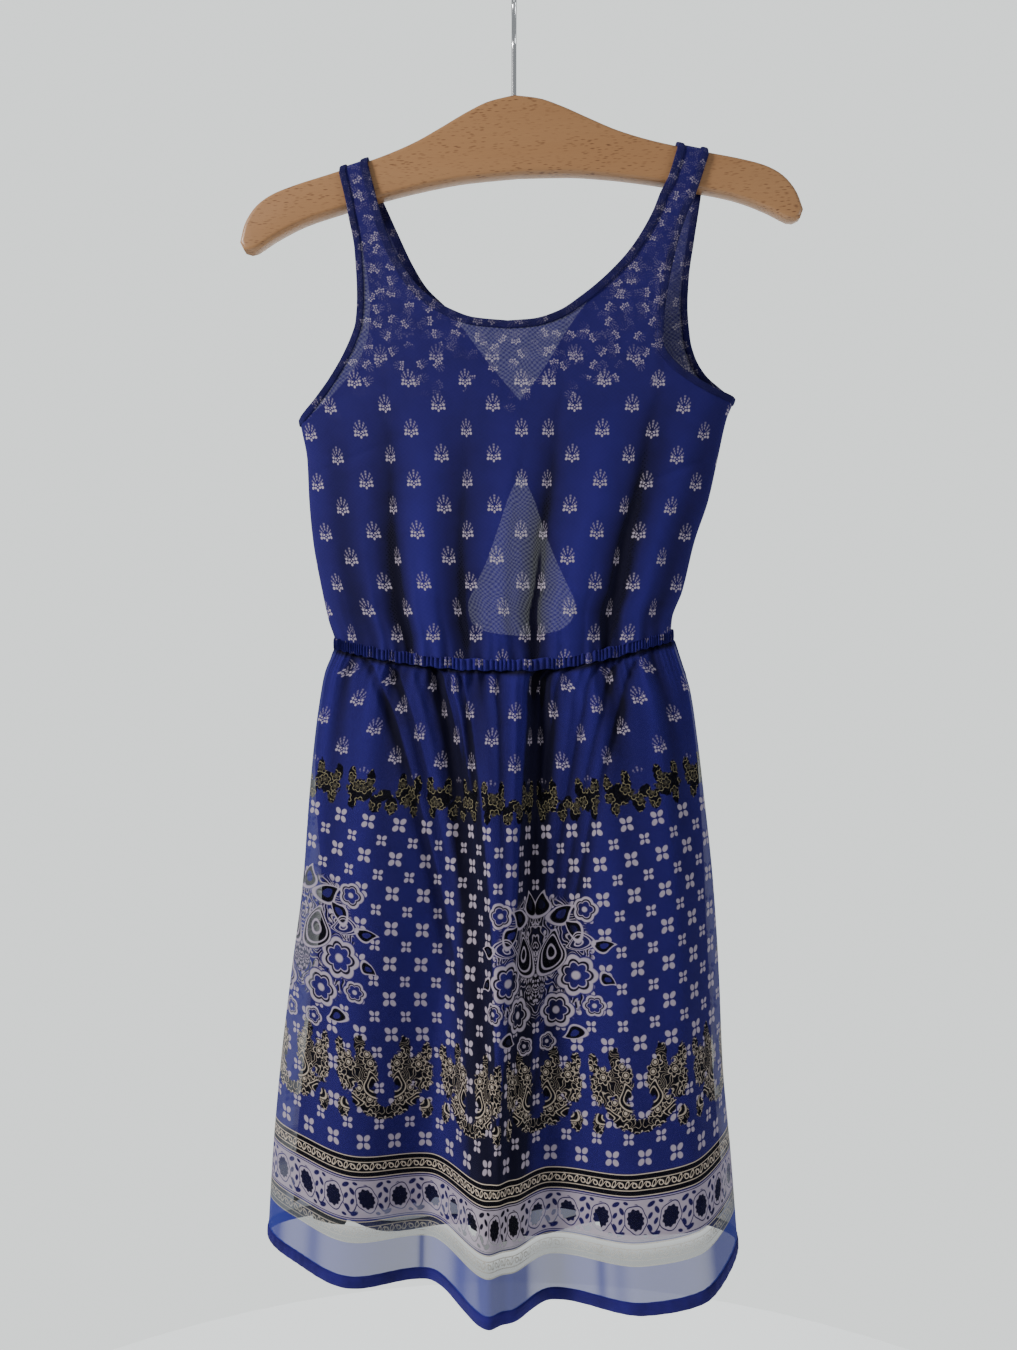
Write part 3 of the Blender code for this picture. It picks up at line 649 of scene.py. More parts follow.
def bodice_back():
    grids = []
    seam_rows, hole_rows, low_rows, arm_rows = 18, 72, 16, 90
    body = NECK_ROWS + seam_rows + hole_rows + low_rows - arm_rows
    for way, neck, arm, hole in (
        (-1, BACK_NECK_LEFT, BACK_ARM_LEFT, KEYHOLE_LEFT),
        (1, BACK_NECK_RIGHT, BACK_ARM_RIGHT, KEYHOLE_RIGHT),
    ):
        inwards = NECK_BINDING - EDGE_SINKS
        low = (BACK_CENTRE, neck["height"][-1] - inwards * 1.5)
        neckline = cut_edge(neck, NECK_ROWS, inwards, way, low)
        keyhole = keyhole_edge(hole, hole_rows, KEYHOLE_BINDING - EDGE_SINKS, way)
        seam = centre_line(low, keyhole[0], seam_rows)
        waist = (BACK_CENTRE, float(waist_height(0)) + CASING_HEIGHT / 2)
        bottom = centre_line(keyhole[-1], waist, low_rows)
        inner = np.concatenate([neckline, seam[1:], keyhole[1:], bottom[1:]])
        outer = body_edge(way, arm, arm_rows, body)
        grids.append(left_to_right(way, half_bodice(outer, inner, BACK, WRAP_ROWS + arm_rows)))
    return sheet_of("bodice_back_cloth", grids, BACK)


pieces = {"bodice_front": bodice_front(), "bodice_back": bodice_back()}
print("bodice front", len(pieces["bodice_front"].data.polygons), "faces")

# %% [markdown]
# A bias binding is a strip folded over the raw edge, so it is thicker than the cloth and rounded.
# Its section is a soft rectangle, swept along the edge on the bodice's own surface.

# %% Bindings
RING = 12
BINDING_ROWS = 80


def soft_box():
    """The section of a folded strip: how far in from the edge, and how far out, both -1 to 1."""
    turn = np.linspace(0, 2 * math.pi, RING, endpoint=False)
    across = np.sign(np.cos(turn)) * np.abs(np.cos(turn)) ** 0.55
    out = np.sign(np.sin(turn)) * np.abs(np.sin(turn)) ** 0.7
    return across, out


def binding(name, edge, inside, side, closed=False):
    across, out = soft_box()
    part = (1 - across) / 2
    flat = edge[:, None, :] + (inside - edge)[:, None, :] * part[None, :, None]
    run = run_along(edge)
    pucker = 1 + 0.12 * np.sin(run / (2.6 * MM) + 1.3 * np.sin(run / (17 * MM)))[:, None]
    lift = out[None, :] * (CLOTH / 2 + BINDING_PROUD) * pucker - CLOTH / 2
    points = on_bodice(flat[..., 0], flat[..., 1], side, lift[..., None])
    uvs = np.stack([flat[..., 0] - PRINT_MIDDLE, flat[..., 1] - HEM_LEVEL], axis=-1)
    return sweep_of(name + "_strip", points, uvs, closed)


def neck_bindings():
    for side, left, right, name in (
        (FRONT, FRONT_NECK_LEFT, FRONT_NECK_RIGHT, "neck_binding_front"),
        (BACK, BACK_NECK_LEFT, BACK_NECK_RIGHT, "neck_binding_back"),
    ):
        lines = []
        for inwards in (0, NECK_BINDING):
            drop = inwards * (1 if side == FRONT else 1.45)
            low = (FRONT_CENTRE if side == FRONT else BACK_CENTRE, left["height"][-1] - drop)
            one = cut_edge(left, BINDING_ROWS, inwards, -1, low)
            other = cut_edge(right, BINDING_ROWS, inwards, 1, low)
            lines.append(np.concatenate([one, other[-2::-1]]))
        pieces[name] = binding(name, lines[0], lines[1], side)


def arm_bindings():
    for side, way, table, name in (
        (FRONT, -1, FRONT_ARM_LEFT, "arm_binding_front_left"),
        (FRONT, 1, FRONT_ARM_RIGHT, "arm_binding_front_right"),
        (BACK, -1, BACK_ARM_LEFT, "arm_binding_back_left"),
        (BACK, 1, BACK_ARM_RIGHT, "arm_binding_back_right"),
    ):
        edge = cut_edge(table, BINDING_ROWS)
        meet = underarm(way, table, ARM_BINDING)
        inside = cut_edge(table, BINDING_ROWS, ARM_BINDING, -way, meet)
        pieces[name] = binding(name, edge, inside, side)


def keyhole_binding():
    rings = []
    for inwards in (0, KEYHOLE_BINDING):
        one = keyhole_edge(KEYHOLE_LEFT, 60, inwards, -1)
        other = keyhole_edge(KEYHOLE_RIGHT, 60, inwards, 1)
        rings.append(np.concatenate([one, other[-2:0:-1]]))
    pieces["keyhole_binding"] = binding("keyhole_binding", rings[0], rings[1], BACK, closed=True)


neck_bindings()
arm_bindings()
keyhole_binding()
print("bindings", sum("binding" in name for name in pieces))

# %% [markdown]
# The skirt is a wide panel gathered onto the waist. Pleats start close together under the elastic,
# open out on their way down, and join into a few deep folds at the hem. Its surface is read by an
# angle round the body and a share of the way down.

# %% The skirt's measures and folds
SKIRT = columns(
    "share left right",
    (0, -138.5, 124), (0.04, -146, 130), (0.08, -149.4, 136), (0.15, -153.6, 140.9),
    (0.25, -157.8, 146.3), (0.4, -162.8, 153.5), (0.55, -171.3, 157.8), (0.7, -179.2, 160.5),
    (0.85, -185.1, 166.5), (1, -189, 171.5),
)
HEM = columns("share height", (-1, -971), (-0.5, -985), (0, -990), (0.5, -987), (1, -978))
FRONT_FOLDS = columns(
    "share depth",
    (-1, 38), (-0.86, 45), (-0.63, 60), (-0.31, 37), (-0.03, 98), (0.2, 60), (0.55, 86),
    (0.78, 88), (1, 55),
)
BACK_FOLDS = columns(
    "share depth",
    (-1, 30), (-0.78, 44), (-0.52, 27), (-0.2, 46), (0.12, 29), (0.42, 47), (0.68, 31),
    (0.86, 40), (1, 30),
)
GATHERS = 15
# Each long trough: where it starts and ends across, its width, its depth, and from where to where
FRONT_TROUGHS = columns(
    "share low power depth top foot",
    (-0.86, -0.84, 0.022, 2.2, -50, 520), (-0.71, -0.72, 0.020, 1.8, -50, 300),
    (-0.59, -0.55, 0.024, -2.0, -50, 640), (-0.43, -0.27, 0.034, 5.5, -50, 1500),
    (-0.36, -0.36, 0.018, 2.4, -50, 900), (-0.28, -0.17, 0.018, 2.6, -50, 1250),
    (-0.16, -0.10, 0.026, -2.6, -50, 1100), (-0.03, 0.0, 0.016, 1.8, -50, 330),
    (0.08, 0.07, 0.020, -1.8, -50, 500), (0.20, 0.15, 0.026, 5.5, -50, 1500),
    (0.27, 0.24, 0.022, 4.2, -50, 1300), (0.37, 0.31, 0.018, 1.7, -50, 800),
    (0.47, 0.42, 0.022, -1.6, -50, 420), (0.58, 0.55, 0.018, 1.9, -50, 360),
    (0.72, 0.7, 0.020, 1.7, -50, 450), (0.86, 0.84, 0.022, 2.0, -50, 700),
)
BACK_TROUGHS = columns(
    "share low power depth top foot",
    (-0.82, -0.8, 0.024, 2.2, -50, 600), (-0.6, -0.53, 0.032, 4.5, -50, 1500),
    (-0.4, -0.38, 0.02, 2.0, -50, 500), (-0.22, -0.2, 0.026, -2.2, -50, 900),
    (-0.02, 0.1, 0.03, 4.5, -50, 1500), (0.2, 0.22, 0.02, 1.9, -50, 600),
    (0.4, 0.4, 0.026, -2.2, -50, 900), (0.6, 0.66, 0.03, 4.2, -50, 1500),
    (0.84, 0.82, 0.022, 2.0, -50, 600),
)


def gathers(angle, down):
    """The small pleats under the casing, which open out and merge on their way down."""
    turn = angle / math.pi + 0.5
    turn = turn + 0.012 * np.sin(11 * turn) + 0.008 * np.sin(23 * turn + 1)
    fine = 1.9 * MM * np.cos(2 * math.pi * GATHERS * turn) * np.exp(-down / 0.12)
    wide = 2.6 * MM * np.cos(math.pi * GATHERS * turn + 0.9) * np.exp(-down / 0.34)
    return (fine + wide) * np.minimum(1, 0.5 + down / 0.03)


def ripples(angle, down):
    """The finest gathers, right under the casing."""
    turn = angle / math.pi + 0.5
    turn = turn + 0.009 * np.sin(17 * turn) + 0.006 * np.sin(41 * turn + 2)
    return 0.9 * MM * np.cos(2 * math.pi * 43 * turn) * np.exp(-down / 0.035)


def fine_pleats(angle, down):
    return gathers(angle, down) + ripples(angle, down)


def drifted(start, end, down):
    """Where a fold stands at a height, as it wanders from its start to its end."""
    return start + (end - start) * np.sqrt(np.maximum(down, 0))


def troughs(share, down, side):
    table = FRONT_TROUGHS if side == FRONT else BACK_TROUGHS
    deep = 0.0
    for start, end, width, depth, top, foot in zip(*table.values()):
        middle = drifted(start, end, down)
        fade = ease((foot - down) / 0.25 + 0.5) * ease((down - top) / 0.06 + 0.3)
        wide = width * (1 + 0.7 * down)
        deep = deep + depth * np.exp(-(((share - middle) / wide) ** 2)) * fade
    return deep * (1 - 0.55 * down)


def fold_shade(share, down, side):
    """Painted shade in the troughs, strongest deep in a trough. The sharp edge is the one nearer the
    skirt's middle.
    """
    table = FRONT_TROUGHS if side == FRONT else BACK_TROUGHS
    dark = 0.0
    for start, end, width, depth, top, foot in zip(*table.values()):
        if depth > 0:
            way = 1 if start > -0.1 else -1
            off = way * (share - drifted(start, end, down)) / (width * (1 + 0.7 * down)) + 0.6
            near = np.exp(-((off / np.where(off < 0, 0.3, 2.2)) ** 2))
            dark = dark + depth / (3.4 * MM) * near * ease((foot - down) / 0.25 + 0.5)
    return dark


def skirt_depth(share, down, side, pleats):
    """How far the skirt stands out from the side seams' plane. Pleats is the depth that they add."""
    table = FRONT_FOLDS if side == FRONT else BACK_FOLDS
    at_hem = smooth(table["share"], table["depth"], share)
    at_waist = BODICE[SIDES[side]][0]
    opened = 0.12 * np.minimum(down / 0.08, 1) + 0.88 * down
    full = at_waist * (1 - opened) + at_hem * opened + pleats
    return full * np.sqrt(1 - np.minimum(np.abs(share), 1) ** (2 + 4 * opened))


def skirt_height(share, down):
    top = waist_height(share) - CASING_HEIGHT / 2 - GAP
    hem = smooth(HEM["share"], HEM["height"], share)
    return top + (hem - top) * down


def skirt_sides(down):
    left = smooth(SKIRT["share"], SKIRT["left"], down)
    right = smooth(SKIRT["share"], SKIRT["right"], down)
    return (left + right) / 2, (right - left) / 2


def skirt_surface(angle, down, side):
    middle, half = skirt_sides(down)
    share = np.sin(angle)
    rim = np.sqrt(1 - np.minimum(np.abs(share), 1) ** 6)
    deep = skirt_depth(share, down, side, fine_pleats(angle, down)) - troughs(share, down, side) * rim
    return np.stack(
        [middle + half * share, side * np.maximum(deep, GAP / 2), skirt_height(share, down)], axis=-1
    )


def skirt_lifted(angle, down, side, lift):
    """Places a distance outwards from the skirt's outside."""
    return lifted(lambda turn: skirt_surface(turn, down, side), angle, side, lift)


print(len(FRONT_TROUGHS["share"]), "long troughs across the front of the skirt")

# %% [markdown]
# The skirt's sheets: rows from the casing to the hem band. The cloth is nearly as wide at the waist
# as at the hem, so what does not show is hidden in the troughs, and the print is cut there. Painted
# shade darkens the troughs, the gathers and the cloth under the casing. Dark wedges of painted shade,
# where the cloth is also denser, stand for the folds that lie double at the sheer hem.

# %% Skirt sheets
CLOTH_LENGTH = 450 * MM
SPARE_AT_WAIST, SPARE_BELOW = 120 * MM, 16 * MM
SKIRT_ACROSS, SKIRT_DOWN = 360, 190
TUCKED_IN = 3.4 * MM
WEDGES_START = 0.86
HEM_WEDGES = columns(
    "share power dark",
    (-0.95, 0.04, 0.9), (-0.77, 0.035, 0.5), (-0.33, 0.012, 0.8), (-0.17, 0.04, 0.65),
    (-0.06, 0.02, 0.5), (0.08, 0.025, 0.75), (0.39, 0.02, 0.6), (0.46, 0.03, 0.3), (0.86, 0.04, 0.6),
    (0.95, 0.07, 1.0),
)
hem_length = abs(HEM["height"][2] - WAIST["height"][4])
band_share = HEM_BAND / hem_length


def skirt_print(points, share, down, side):
    """Cloth coordinates for the skirt's rows."""
    spare = SPARE_BELOW + (SPARE_AT_WAIST - SPARE_BELOW) * np.exp(-down[:, :1] / 0.2)
    table = FRONT_TROUGHS if side == FRONT else BACK_TROUGHS
    hidden = 0.0
    total = table["depth"][table["depth"] > 0].sum()
    for start, end, width, depth in zip(table["share"], table["low"], table["power"], table["depth"]):
        if depth > 0:
            past = ease((share - drifted(start, end, down)) / (2.2 * width) + 0.5)
            hidden = hidden + spare * depth / total * past
    u = run_along(points[..., :2]) + hidden
    for k in range(len(u)):
        u[k] -= np.interp(PRINT_MIDDLE, points[k, :, 0], u[k])
    return np.stack([u, (1 - down) * CLOTH_LENGTH + 0 * u], axis=-1)


def lining_room(share, down):
    """How far inside the skirt's sides the lining's edges hang, which is more on the left."""
    return (2.4 + (11 - 5 * share) * ease((down - 0.15) / 0.35)) * MM


def hem_wedges(share, down, side):
    """Where folds of the sheer hem lie double: denser and bluer there, with painted shade in the colour."""
    if side == BACK:
        return 0.0
    wedges = sum(
        dark * np.exp(-(((share - place) / width) ** 2)) for place, width, dark in zip(*HEM_WEDGES.values())
    )
    return wedges * ease((down - WEDGES_START) / 0.06)


def skirt_panel(name, side, downs, across, lift):
    angle, down = np.meshgrid(np.linspace(-QUARTER, QUARTER, across + 1), downs)
    points = skirt_lifted(angle, down, side, lift)
    share = np.sin(angle)
    tucked = TUCKED_IN * ease(-down / 0.008)
    points[..., 0] -= share * tucked
    points[..., 1] -= side * tucked
    keep_side(points, side)
    points[:, [0, -1], 1] = 0
    # Painted shade: dark deep in the troughs, between the gathers, where the cloth runs under the casing,
    # and in the hem wedges.
    pleat_shade = -fine_pleats(angle, down) / (4.5 * MM)
    folded = 0.22 + fold_shade(share, down, side) * 0.8 + pleat_shade * 0.55
    folded = np.clip(folded + hem_wedges(share, down, side), 0, 1)
    folded = np.maximum(folded, ease(1 - down / 0.012))
    margin = (1 - np.abs(share)) * skirt_sides(down)[1] - lining_room(share, down)
    unlined = ease(0.5 - margin / (5 * MM))
    return sheet_of(name, [(points, skirt_print(points, share, down, side), folded, unlined)], side)


hung_rows = np.linspace(0, 1, SKIRT_DOWN + 1) ** 1.15 * (1 - band_share * 0.8)
down_rows = np.concatenate([np.linspace(-0.012, 0, 6)[:-1], hung_rows])
for side, part in SIDES.items():
    name = f"skirt_{part}"
    pieces[name] = skirt_panel(name + "_cloth", side, down_rows, SKIRT_ACROSS, -CLOTH / 2)
print("skirt front", len(pieces["skirt_front"].data.polygons), "faces")

# %% [markdown]
# The hem is turned up twice and stitched, so it is a narrow, darker and thicker band. It is swept
# along the skirt's lower edge with a soft section, and it puckers a little at the stitches.

# %% Hem bands
HEM_STATIONS = 420
HEM_HALF = 170 * MM


def hem_band(name, side):
    across, out = soft_box()
    angle = np.linspace(-QUARTER, QUARTER, HEM_STATIONS + 1)[:, None]
    run = angle * HEM_HALF
    pucker = 1 + 0.14 * np.sin(run / (1.9 * MM) + 2 * np.sin(run / (13 * MM)))
    down = 1 - band_share / 2 + across[None, :] * band_share / 2 + 0 * angle
    lift = -HEM_WALL / 2 + out[None, :] * HEM_WALL / 2 * pucker
    points = skirt_lifted(angle + 0 * down, down, side, lift[..., None])
    uvs = np.stack([run + 0 * down, (1 - down) * CLOTH_LENGTH], axis=-1)
    return sweep_of(name + "_fold", points, uvs)


for side, part in SIDES.items():
    pieces[f"hem_band_{part}"] = hem_band(f"hem_band_{part}", side)
print("hem band", HEM_STATIONS, "stations a side")

# %% [markdown]
# The lining hangs inside with less width and shallower folds. It shows wherever the chiffon is
# sheer: it stops above the hem, and its lower edge steps up and down where its own folds lie.

# %% Lining
LINING_ACROSS, LINING_DOWN = 300, 120
LINING_EDGE = columns(
    "share height",
    (-1, -926), (-0.9, -926), (-0.88, -951), (-0.72, -951), (-0.7, -941), (-0.33, -939),
    (-0.31, -935), (-0.16, -935), (-0.14, -947), (-0.06, -949), (-0.04, -953), (0.1, -953),
    (0.12, -938), (0.42, -938), (0.44, -951), (1, -951),
)


ROOM_FOR_PLEATS = 4.2 * MM


def lining_surface(angle, fall, side):
    share = np.sin(angle)
    start = skirt_height(share, 0.003)
    edge = smooth(LINING_EDGE["share"], LINING_EDGE["height"], share * -side)
    height = start + (edge - start) * fall
    top, hem = skirt_height(share, 0), skirt_height(share, 1)
    down = (top - height) / (top - hem)
    middle, half = skirt_sides(down)
    across = middle + (half - lining_room(share, down)) * share
    room = ROOM_FOR_PLEATS * np.exp(-down / 0.3)
    deep = skirt_depth((across - middle) / half, down, side, -room) * (0.75 - 0.2 * down)
    deep = deep - 0.6 * MM * np.cos(38 * share + 3 * np.sin(5 * share)) * np.minimum(down * 3, 1)
    deep = np.maximum(deep * np.sqrt(1 - np.abs(share) ** 14), GAP / 2)
    return np.stack([across, side * deep, height], axis=-1)


def lining_panel(name, side):
    angles, falls = np.linspace(-QUARTER, QUARTER, LINING_ACROSS + 1), np.linspace(0, 1, LINING_DOWN + 1)
    points = lining_surface(*np.meshgrid(angles, falls), side)
    uvs = np.stack([points[..., 0] - PRINT_MIDDLE, points[..., 2] - HEM_LEVEL], axis=-1)
    return sheet_of(name, [(points, uvs, 0.0)], side)


for side, part in SIDES.items():
    pieces[f"lining_{part}"] = lining_panel(f"lining_{part}_cloth", side)
print("lining ends between", LINING_EDGE["height"].max(), "and", LINING_EDGE["height"].min())

# %% [markdown]
# The waist is a narrow casing with elastic in it. The cloth crowds into small uneven ripples, and
# between them the casing bulges.

# %% Waist casing
CASING_RIPPLES = 24
CASING_STATIONS = 760
CASING_LEVEL = -530 * MM
CASING_HALF = 131 * MM
CASING_GATHERED = 1.75


def casing_surface(angle, up, side):
    share = np.sin(angle)
    left, right = side_seam(CASING_LEVEL, -1), side_seam(CASING_LEVEL, 1)
    full = BODICE[SIDES[side]][0] + 1.2 * MM
    ripple = 0.55 * MM * np.cos(2 * CASING_RIPPLES * angle)
    deep = np.maximum((full + ripple) * np.cos(angle), GAP / 2)
    height = waist_height(share) + up * CASING_HEIGHT / 2
    across = (left + right) / 2 + ((right - left) / 2 + 1 * MM) * share
    return np.stack([across, side * deep, height], axis=-1)


def casing(name, side):
    across, out = soft_box()
    angle = np.linspace(-QUARTER, QUARTER, CASING_STATIONS + 1)[:, None]
    run = angle * CASING_HALF
    crowd = np.sin(run / (0.62 * MM) + 2.2 * np.sin(run / (7 * MM)) + 1.1 * np.sin(run / (3.1 * MM)))
    low = 1 - np.exp(-((np.cos(angle) / 0.08) ** 2))
    swell = (0.5 + 1.0 * crowd) * MM * low
    lift = -CASING_WALL / 2 + out[None, :] * CASING_WALL / 2 + swell * (out[None, :] > 0.3)
    points = lifted(
        lambda turn: casing_surface(turn, across[None, :], side), angle + 0 * across, side, lift[..., None]
    )
    uneven = 0.5 * MM * np.sin(run / (2.3 * MM) + 1.7 * np.sin(run / (11 * MM)))
    points[..., 2] += uneven * np.abs(across[None, :])
    uvs = np.stack([run * CASING_GATHERED + 0 * across, points[..., 2] - HEM_LEVEL], axis=-1)
    return sweep_of(name + "_ruche", points, uvs)


for side, part in SIDES.items():
    pieces[f"waist_casing_{part}"] = casing(f"waist_casing_{part}", side)
print("casing", CASING_STATIONS, "stations a side")

# %% [markdown]
# The hanger is a flat beech board, sawn to its outline and rounded over. Here a circle is added with
# one corner for each station, its corners are moved onto the outline, and it is extruded. Rounding
# comes from a bevel, and a drilled hole takes the wire.

# %% Hanger wood
def active(made):
    bpy.ops.object.select_all(action="DESELECT")
    made.select_set(True)
    bpy.context.view_layer.objects.active = made


def hanger_wood():
    outline = wood_outline(56, 44)
    bpy.ops.mesh.primitive_circle_add(vertices=len(outline), radius=0.1, fill_type="NGON")
    wood = bpy.context.object
    wood.name = "hanger_board"
    for corner, (x, z) in zip(wood.data.vertices, outline[::-1]):
        corner.co = (x, -WOOD_THICKNESS / 2, z)
    bpy.ops.object.mode_set(mode="EDIT")
    bpy.ops.mesh.select_all(action="SELECT")
    bpy.ops.mesh.extrude_region_move(TRANSFORM_OT_translate={"value": (0, WOOD_THICKNESS, 0)})
    bpy.ops.mesh.select_all(action="SELECT")
    bpy.ops.mesh.normals_make_consistent(inside=False)
    bpy.ops.object.mode_set(mode="OBJECT")
    rounding = wood.modifiers.new("rounded edges", "BEVEL")
    rounding.width = WOOD_ROUNDING
    rounding.segments = 6
    rounding.limit_method = "ANGLE"
    rounding.angle_limit = math.radians(60)
    bpy.ops.object.modifier_apply(modifier=rounding.name)
    bpy.ops.mesh.primitive_cylinder_add(
        vertices=32, radius=WIRE / 2 + BORE_ROOM, depth=2 * BORE_DEPTH, location=(0, 0, HANGER_TOP)
    )
    drill = bpy.context.object
    active(wood)
    bore = wood.modifiers.new("wire's hole", "BOOLEAN")
    bore.object = drill
    bpy.ops.object.modifier_apply(modifier=bore.name)
    bpy.data.objects.remove(drill)
    bpy.ops.object.shade_smooth_by_angle(angle=math.radians(35))
    return wood


pieces["hanger_wood"] = hanger_wood()
print("hanger board", len(pieces["hanger_wood"].data.polygons), "faces")

# %% [markdown]
# The hook is one chromed wire. It rises from the wood, leans forward, goes over the rail and down
# behind. A round section is swept along that route.

# %% Hook
HOOK_RADIUS = 22 * MM
HOOK_LEAVES, HOOK_TIP = math.radians(-140), math.radians(105)
STEM_BEND = -62 * MM


def hook_route():
    centre = -HOOK_RADIUS + WIRE / 2
    foot = HANGER_TOP - BORE_DEPTH + GAP
    points = [(0, foot + (STEM_BEND - foot) * k / 12) for k in range(13)]
    leave_y = HOOK_RADIUS * math.sin(HOOK_LEAVES)
    leave_z = centre + HOOK_RADIUS * math.cos(HOOK_LEAVES)
    for k in range(1, 12):
        t = k / 12
        lean = leave_y * float(ease(t)) * 0.9 + leave_y * 0.1 * t
        points.append((lean, STEM_BEND + (leave_z - STEM_BEND) * t))
    for turn in np.linspace(HOOK_LEAVES, HOOK_TIP, 60):
        points.append((HOOK_RADIUS * math.sin(turn), centre + HOOK_RADIUS * math.cos(turn)))
    return np.array([(0, y, z) for y, z in points])


def hanger_hook():
    route = hook_route()
    run = np.gradient(route, axis=0)
    run /= np.linalg.norm(run, axis=1)[:, None]
    out = np.cross(run, SIDEWAYS)
    turn = np.linspace(0, 2 * math.pi, 20, endpoint=False)
    size = np.full(len(route), WIRE / 2)
    size[-1] *= 0.6
    rings = (
        route[:, None, :]
        + size[:, None, None] * np.cos(turn)[None, :, None] * SIDEWAYS
        + size[:, None, None] * np.sin(turn)[None, :, None] * out[:, None, :]
    )
    return sweep_of("hook_wire", rings, np.zeros(rings.shape[:2] + (2,)))


pieces["hanger_hook"] = hanger_hook()
print("hook reaches", round(float(hook_route()[:, 1].max()) / MM), "mm behind the rail's middle")

# %% [markdown]
# ## Finishes
# Shader maths reads best as sums. A small class wraps a socket, so that Python's own signs add the
# Math nodes. Vectors and colours go through their own nodes.

# %% Sums on sockets
class Field:
    """A number that varies over a surface."""

    def __init__(self, shader, socket):
        self.shader = shader
        self.socket = socket

    def _sum(self, operation, *others):
        return self.shader.math(operation, self, *others)

    def __add__(self, other):
        return self._sum("ADD", other)

    def __sub__(self, other):
        return self._sum("SUBTRACT", other)

    def __mul__(self, other):
        return self._sum("MULTIPLY", other)

    def __truediv__(self, other):
        return self._sum("DIVIDE", other)

    def __abs__(self):
        return self._sum("ABSOLUTE")

    def __neg__(self):
        return self._sum("MULTIPLY", -1)

    def __radd__(self, other):
        return self._sum("ADD", other)

    def __rmul__(self, other):
        return self._sum("MULTIPLY", other)

    def __rsub__(self, other):
        return self.shader.math("SUBTRACT", other, self)


class Shader:
    """A material's nodes, and the one method that adds them."""

    def __init__(self, name):
        self.material = bpy.data.materials.new(name)
        self.material.use_nodes = True
        self.tree = self.material.node_tree
        self.surface = self.tree.nodes["Principled BSDF"]

    def node(self, kind, settings=None, values=None):
        made = self.tree.nodes.new(kind)
        for name, value in (settings or {}).items():
            setattr(made, name, value)
        for name, value in (values or {}).items():
            self.feed(made.inputs[name], value)
        return made

    def feed(self, socket, value):
        if isinstance(value, Field):
            self.tree.links.new(value.socket, socket)
        elif isinstance(value, bpy.types.NodeSocket):
            self.tree.links.new(value, socket)
        else:
            socket.default_value = value

    def math(self, operation, *terms):
        made = self.node("ShaderNodeMath", {"operation": operation}, dict(enumerate(terms)))
        return Field(self, made.outputs[0])

    def set(self, **values):
        for name, value in values.items():
            self.feed(self.surface.inputs[name.replace("_", " ")], value)

    def coordinate(self, name):
        return self.node("ShaderNodeTexCoord").outputs[name]

    def attribute(self, name):
        return Field(self, self.node("ShaderNodeAttribute", {"attribute_name": name}).outputs["Fac"])

    def split(self, vector):
        """A vector's first two numbers."""
        parts = self.node("ShaderNodeSeparateXYZ", values={0: vector})
        return Field(self, parts.outputs[0]), Field(self, parts.outputs[1])

    def cloth(self):
        """The sheet's own coordinates, in millimetres across and up."""
        u, h = self.split(self.node("ShaderNodeUVMap", {"uv_map": "cloth"}).outputs[0])
        return u * 1000, h * 1000

    def vector(self, x, y, z=0.0):
        return self.node("ShaderNodeCombineXYZ", values={0: x, 1: y, 2: z}).outputs[0]

    def noise(self, vector, scale, detail=2.0, roughness=0.5, dimensions="2D"):
        made = self.node(
            "ShaderNodeTexNoise",
            {"noise_dimensions": dimensions},
            {"Vector": vector, "Scale": scale, "Detail": detail, "Roughness": roughness},
        )
        return Field(self, made.outputs[0])

    def mix(self, factor, one, other):
        """A colour between two, by a mask."""
        made = self.node("ShaderNodeMix", {"data_type": "RGBA"}, {0: factor, 6: one, 7: other})
        return made.outputs[2]

    def bump(self, height, distance, strength=1.0):
        values = {"Height": height, "Distance": distance, "Strength": strength}
        return self.node("ShaderNodeBump", values=values).outputs[0]

    def below(self, value, edge, blur):
        """1 where a value is under an edge, with a soft change."""
        made = self.node(
            "ShaderNodeMapRange",
            {"clamp": True},
            {"Value": value, "From Min": edge + blur, "From Max": edge - blur},
        )
        return Field(self, made.outputs[0])

    def line(self, value, place, half, blur):
        return self.below(abs(value - place), half, blur)

    def inside(self, vector, x, y, rx, ry, turn=0.0):
        """A place as an ellipse sees it, whose edge is 1 away from its middle."""
        made = self.node(
            "ShaderNodeMapping",
            {"vector_type": "TEXTURE"},
            {"Vector": vector, "Location": (x, y, 0), "Rotation": (0, 0, turn), "Scale": (rx, ry, 1)},
        )
        return made.outputs[0]

    def blob(self, vector, x, y, rx, ry, turn=0.0):
        """How far from an ellipse's middle a place is, 1 on its edge."""
        place = self.inside(vector, x, y, rx, ry, turn)
        far = self.node("ShaderNodeVectorMath", {"operation": "LENGTH"}, {0: place})
        return Field(self, far.outputs["Value"])

    def cells(self, here, pitch, randomness):
        """Scattered cells: the way from a cell's middle, and two numbers that each cell draws."""
        made = self.node(
            "ShaderNodeTexVoronoi",
            {"voronoi_dimensions": "2D"},
            {"Vector": here, "Scale": 1 / pitch, "Randomness": randomness},
        )
        middle = made.outputs["Position"]
        off = self.node("ShaderNodeVectorMath", {"operation": "SUBTRACT"}, {0: here, 1: middle})
        drawn = self.node("ShaderNodeSeparateColor", values={0: made.outputs["Color"]})
        return off.outputs[0], Field(self, drawn.outputs[0]), Field(self, drawn.outputs[1])


def most(*masks):
    """Where any of the masks is."""
    whole = masks[0]
    for mask in masks[1:]:
        whole = whole._sum("MAXIMUM", mask)
    return whole


def least(*masks):
    whole = masks[0]
    for mask in masks[1:]:
        whole = whole._sum("MINIMUM", mask)
    return whole


def nearest(s, place, ellipses):
    """How far the nearest of some ellipses is, 1 on its edge."""
    return least(*(s.blob(place, *one) for one in ellipses))


def wrapped(value, pitch):
    """A place inside its repeat, from minus half to half the pitch."""
    return value._sum("WRAP", -pitch / 2, pitch / 2)


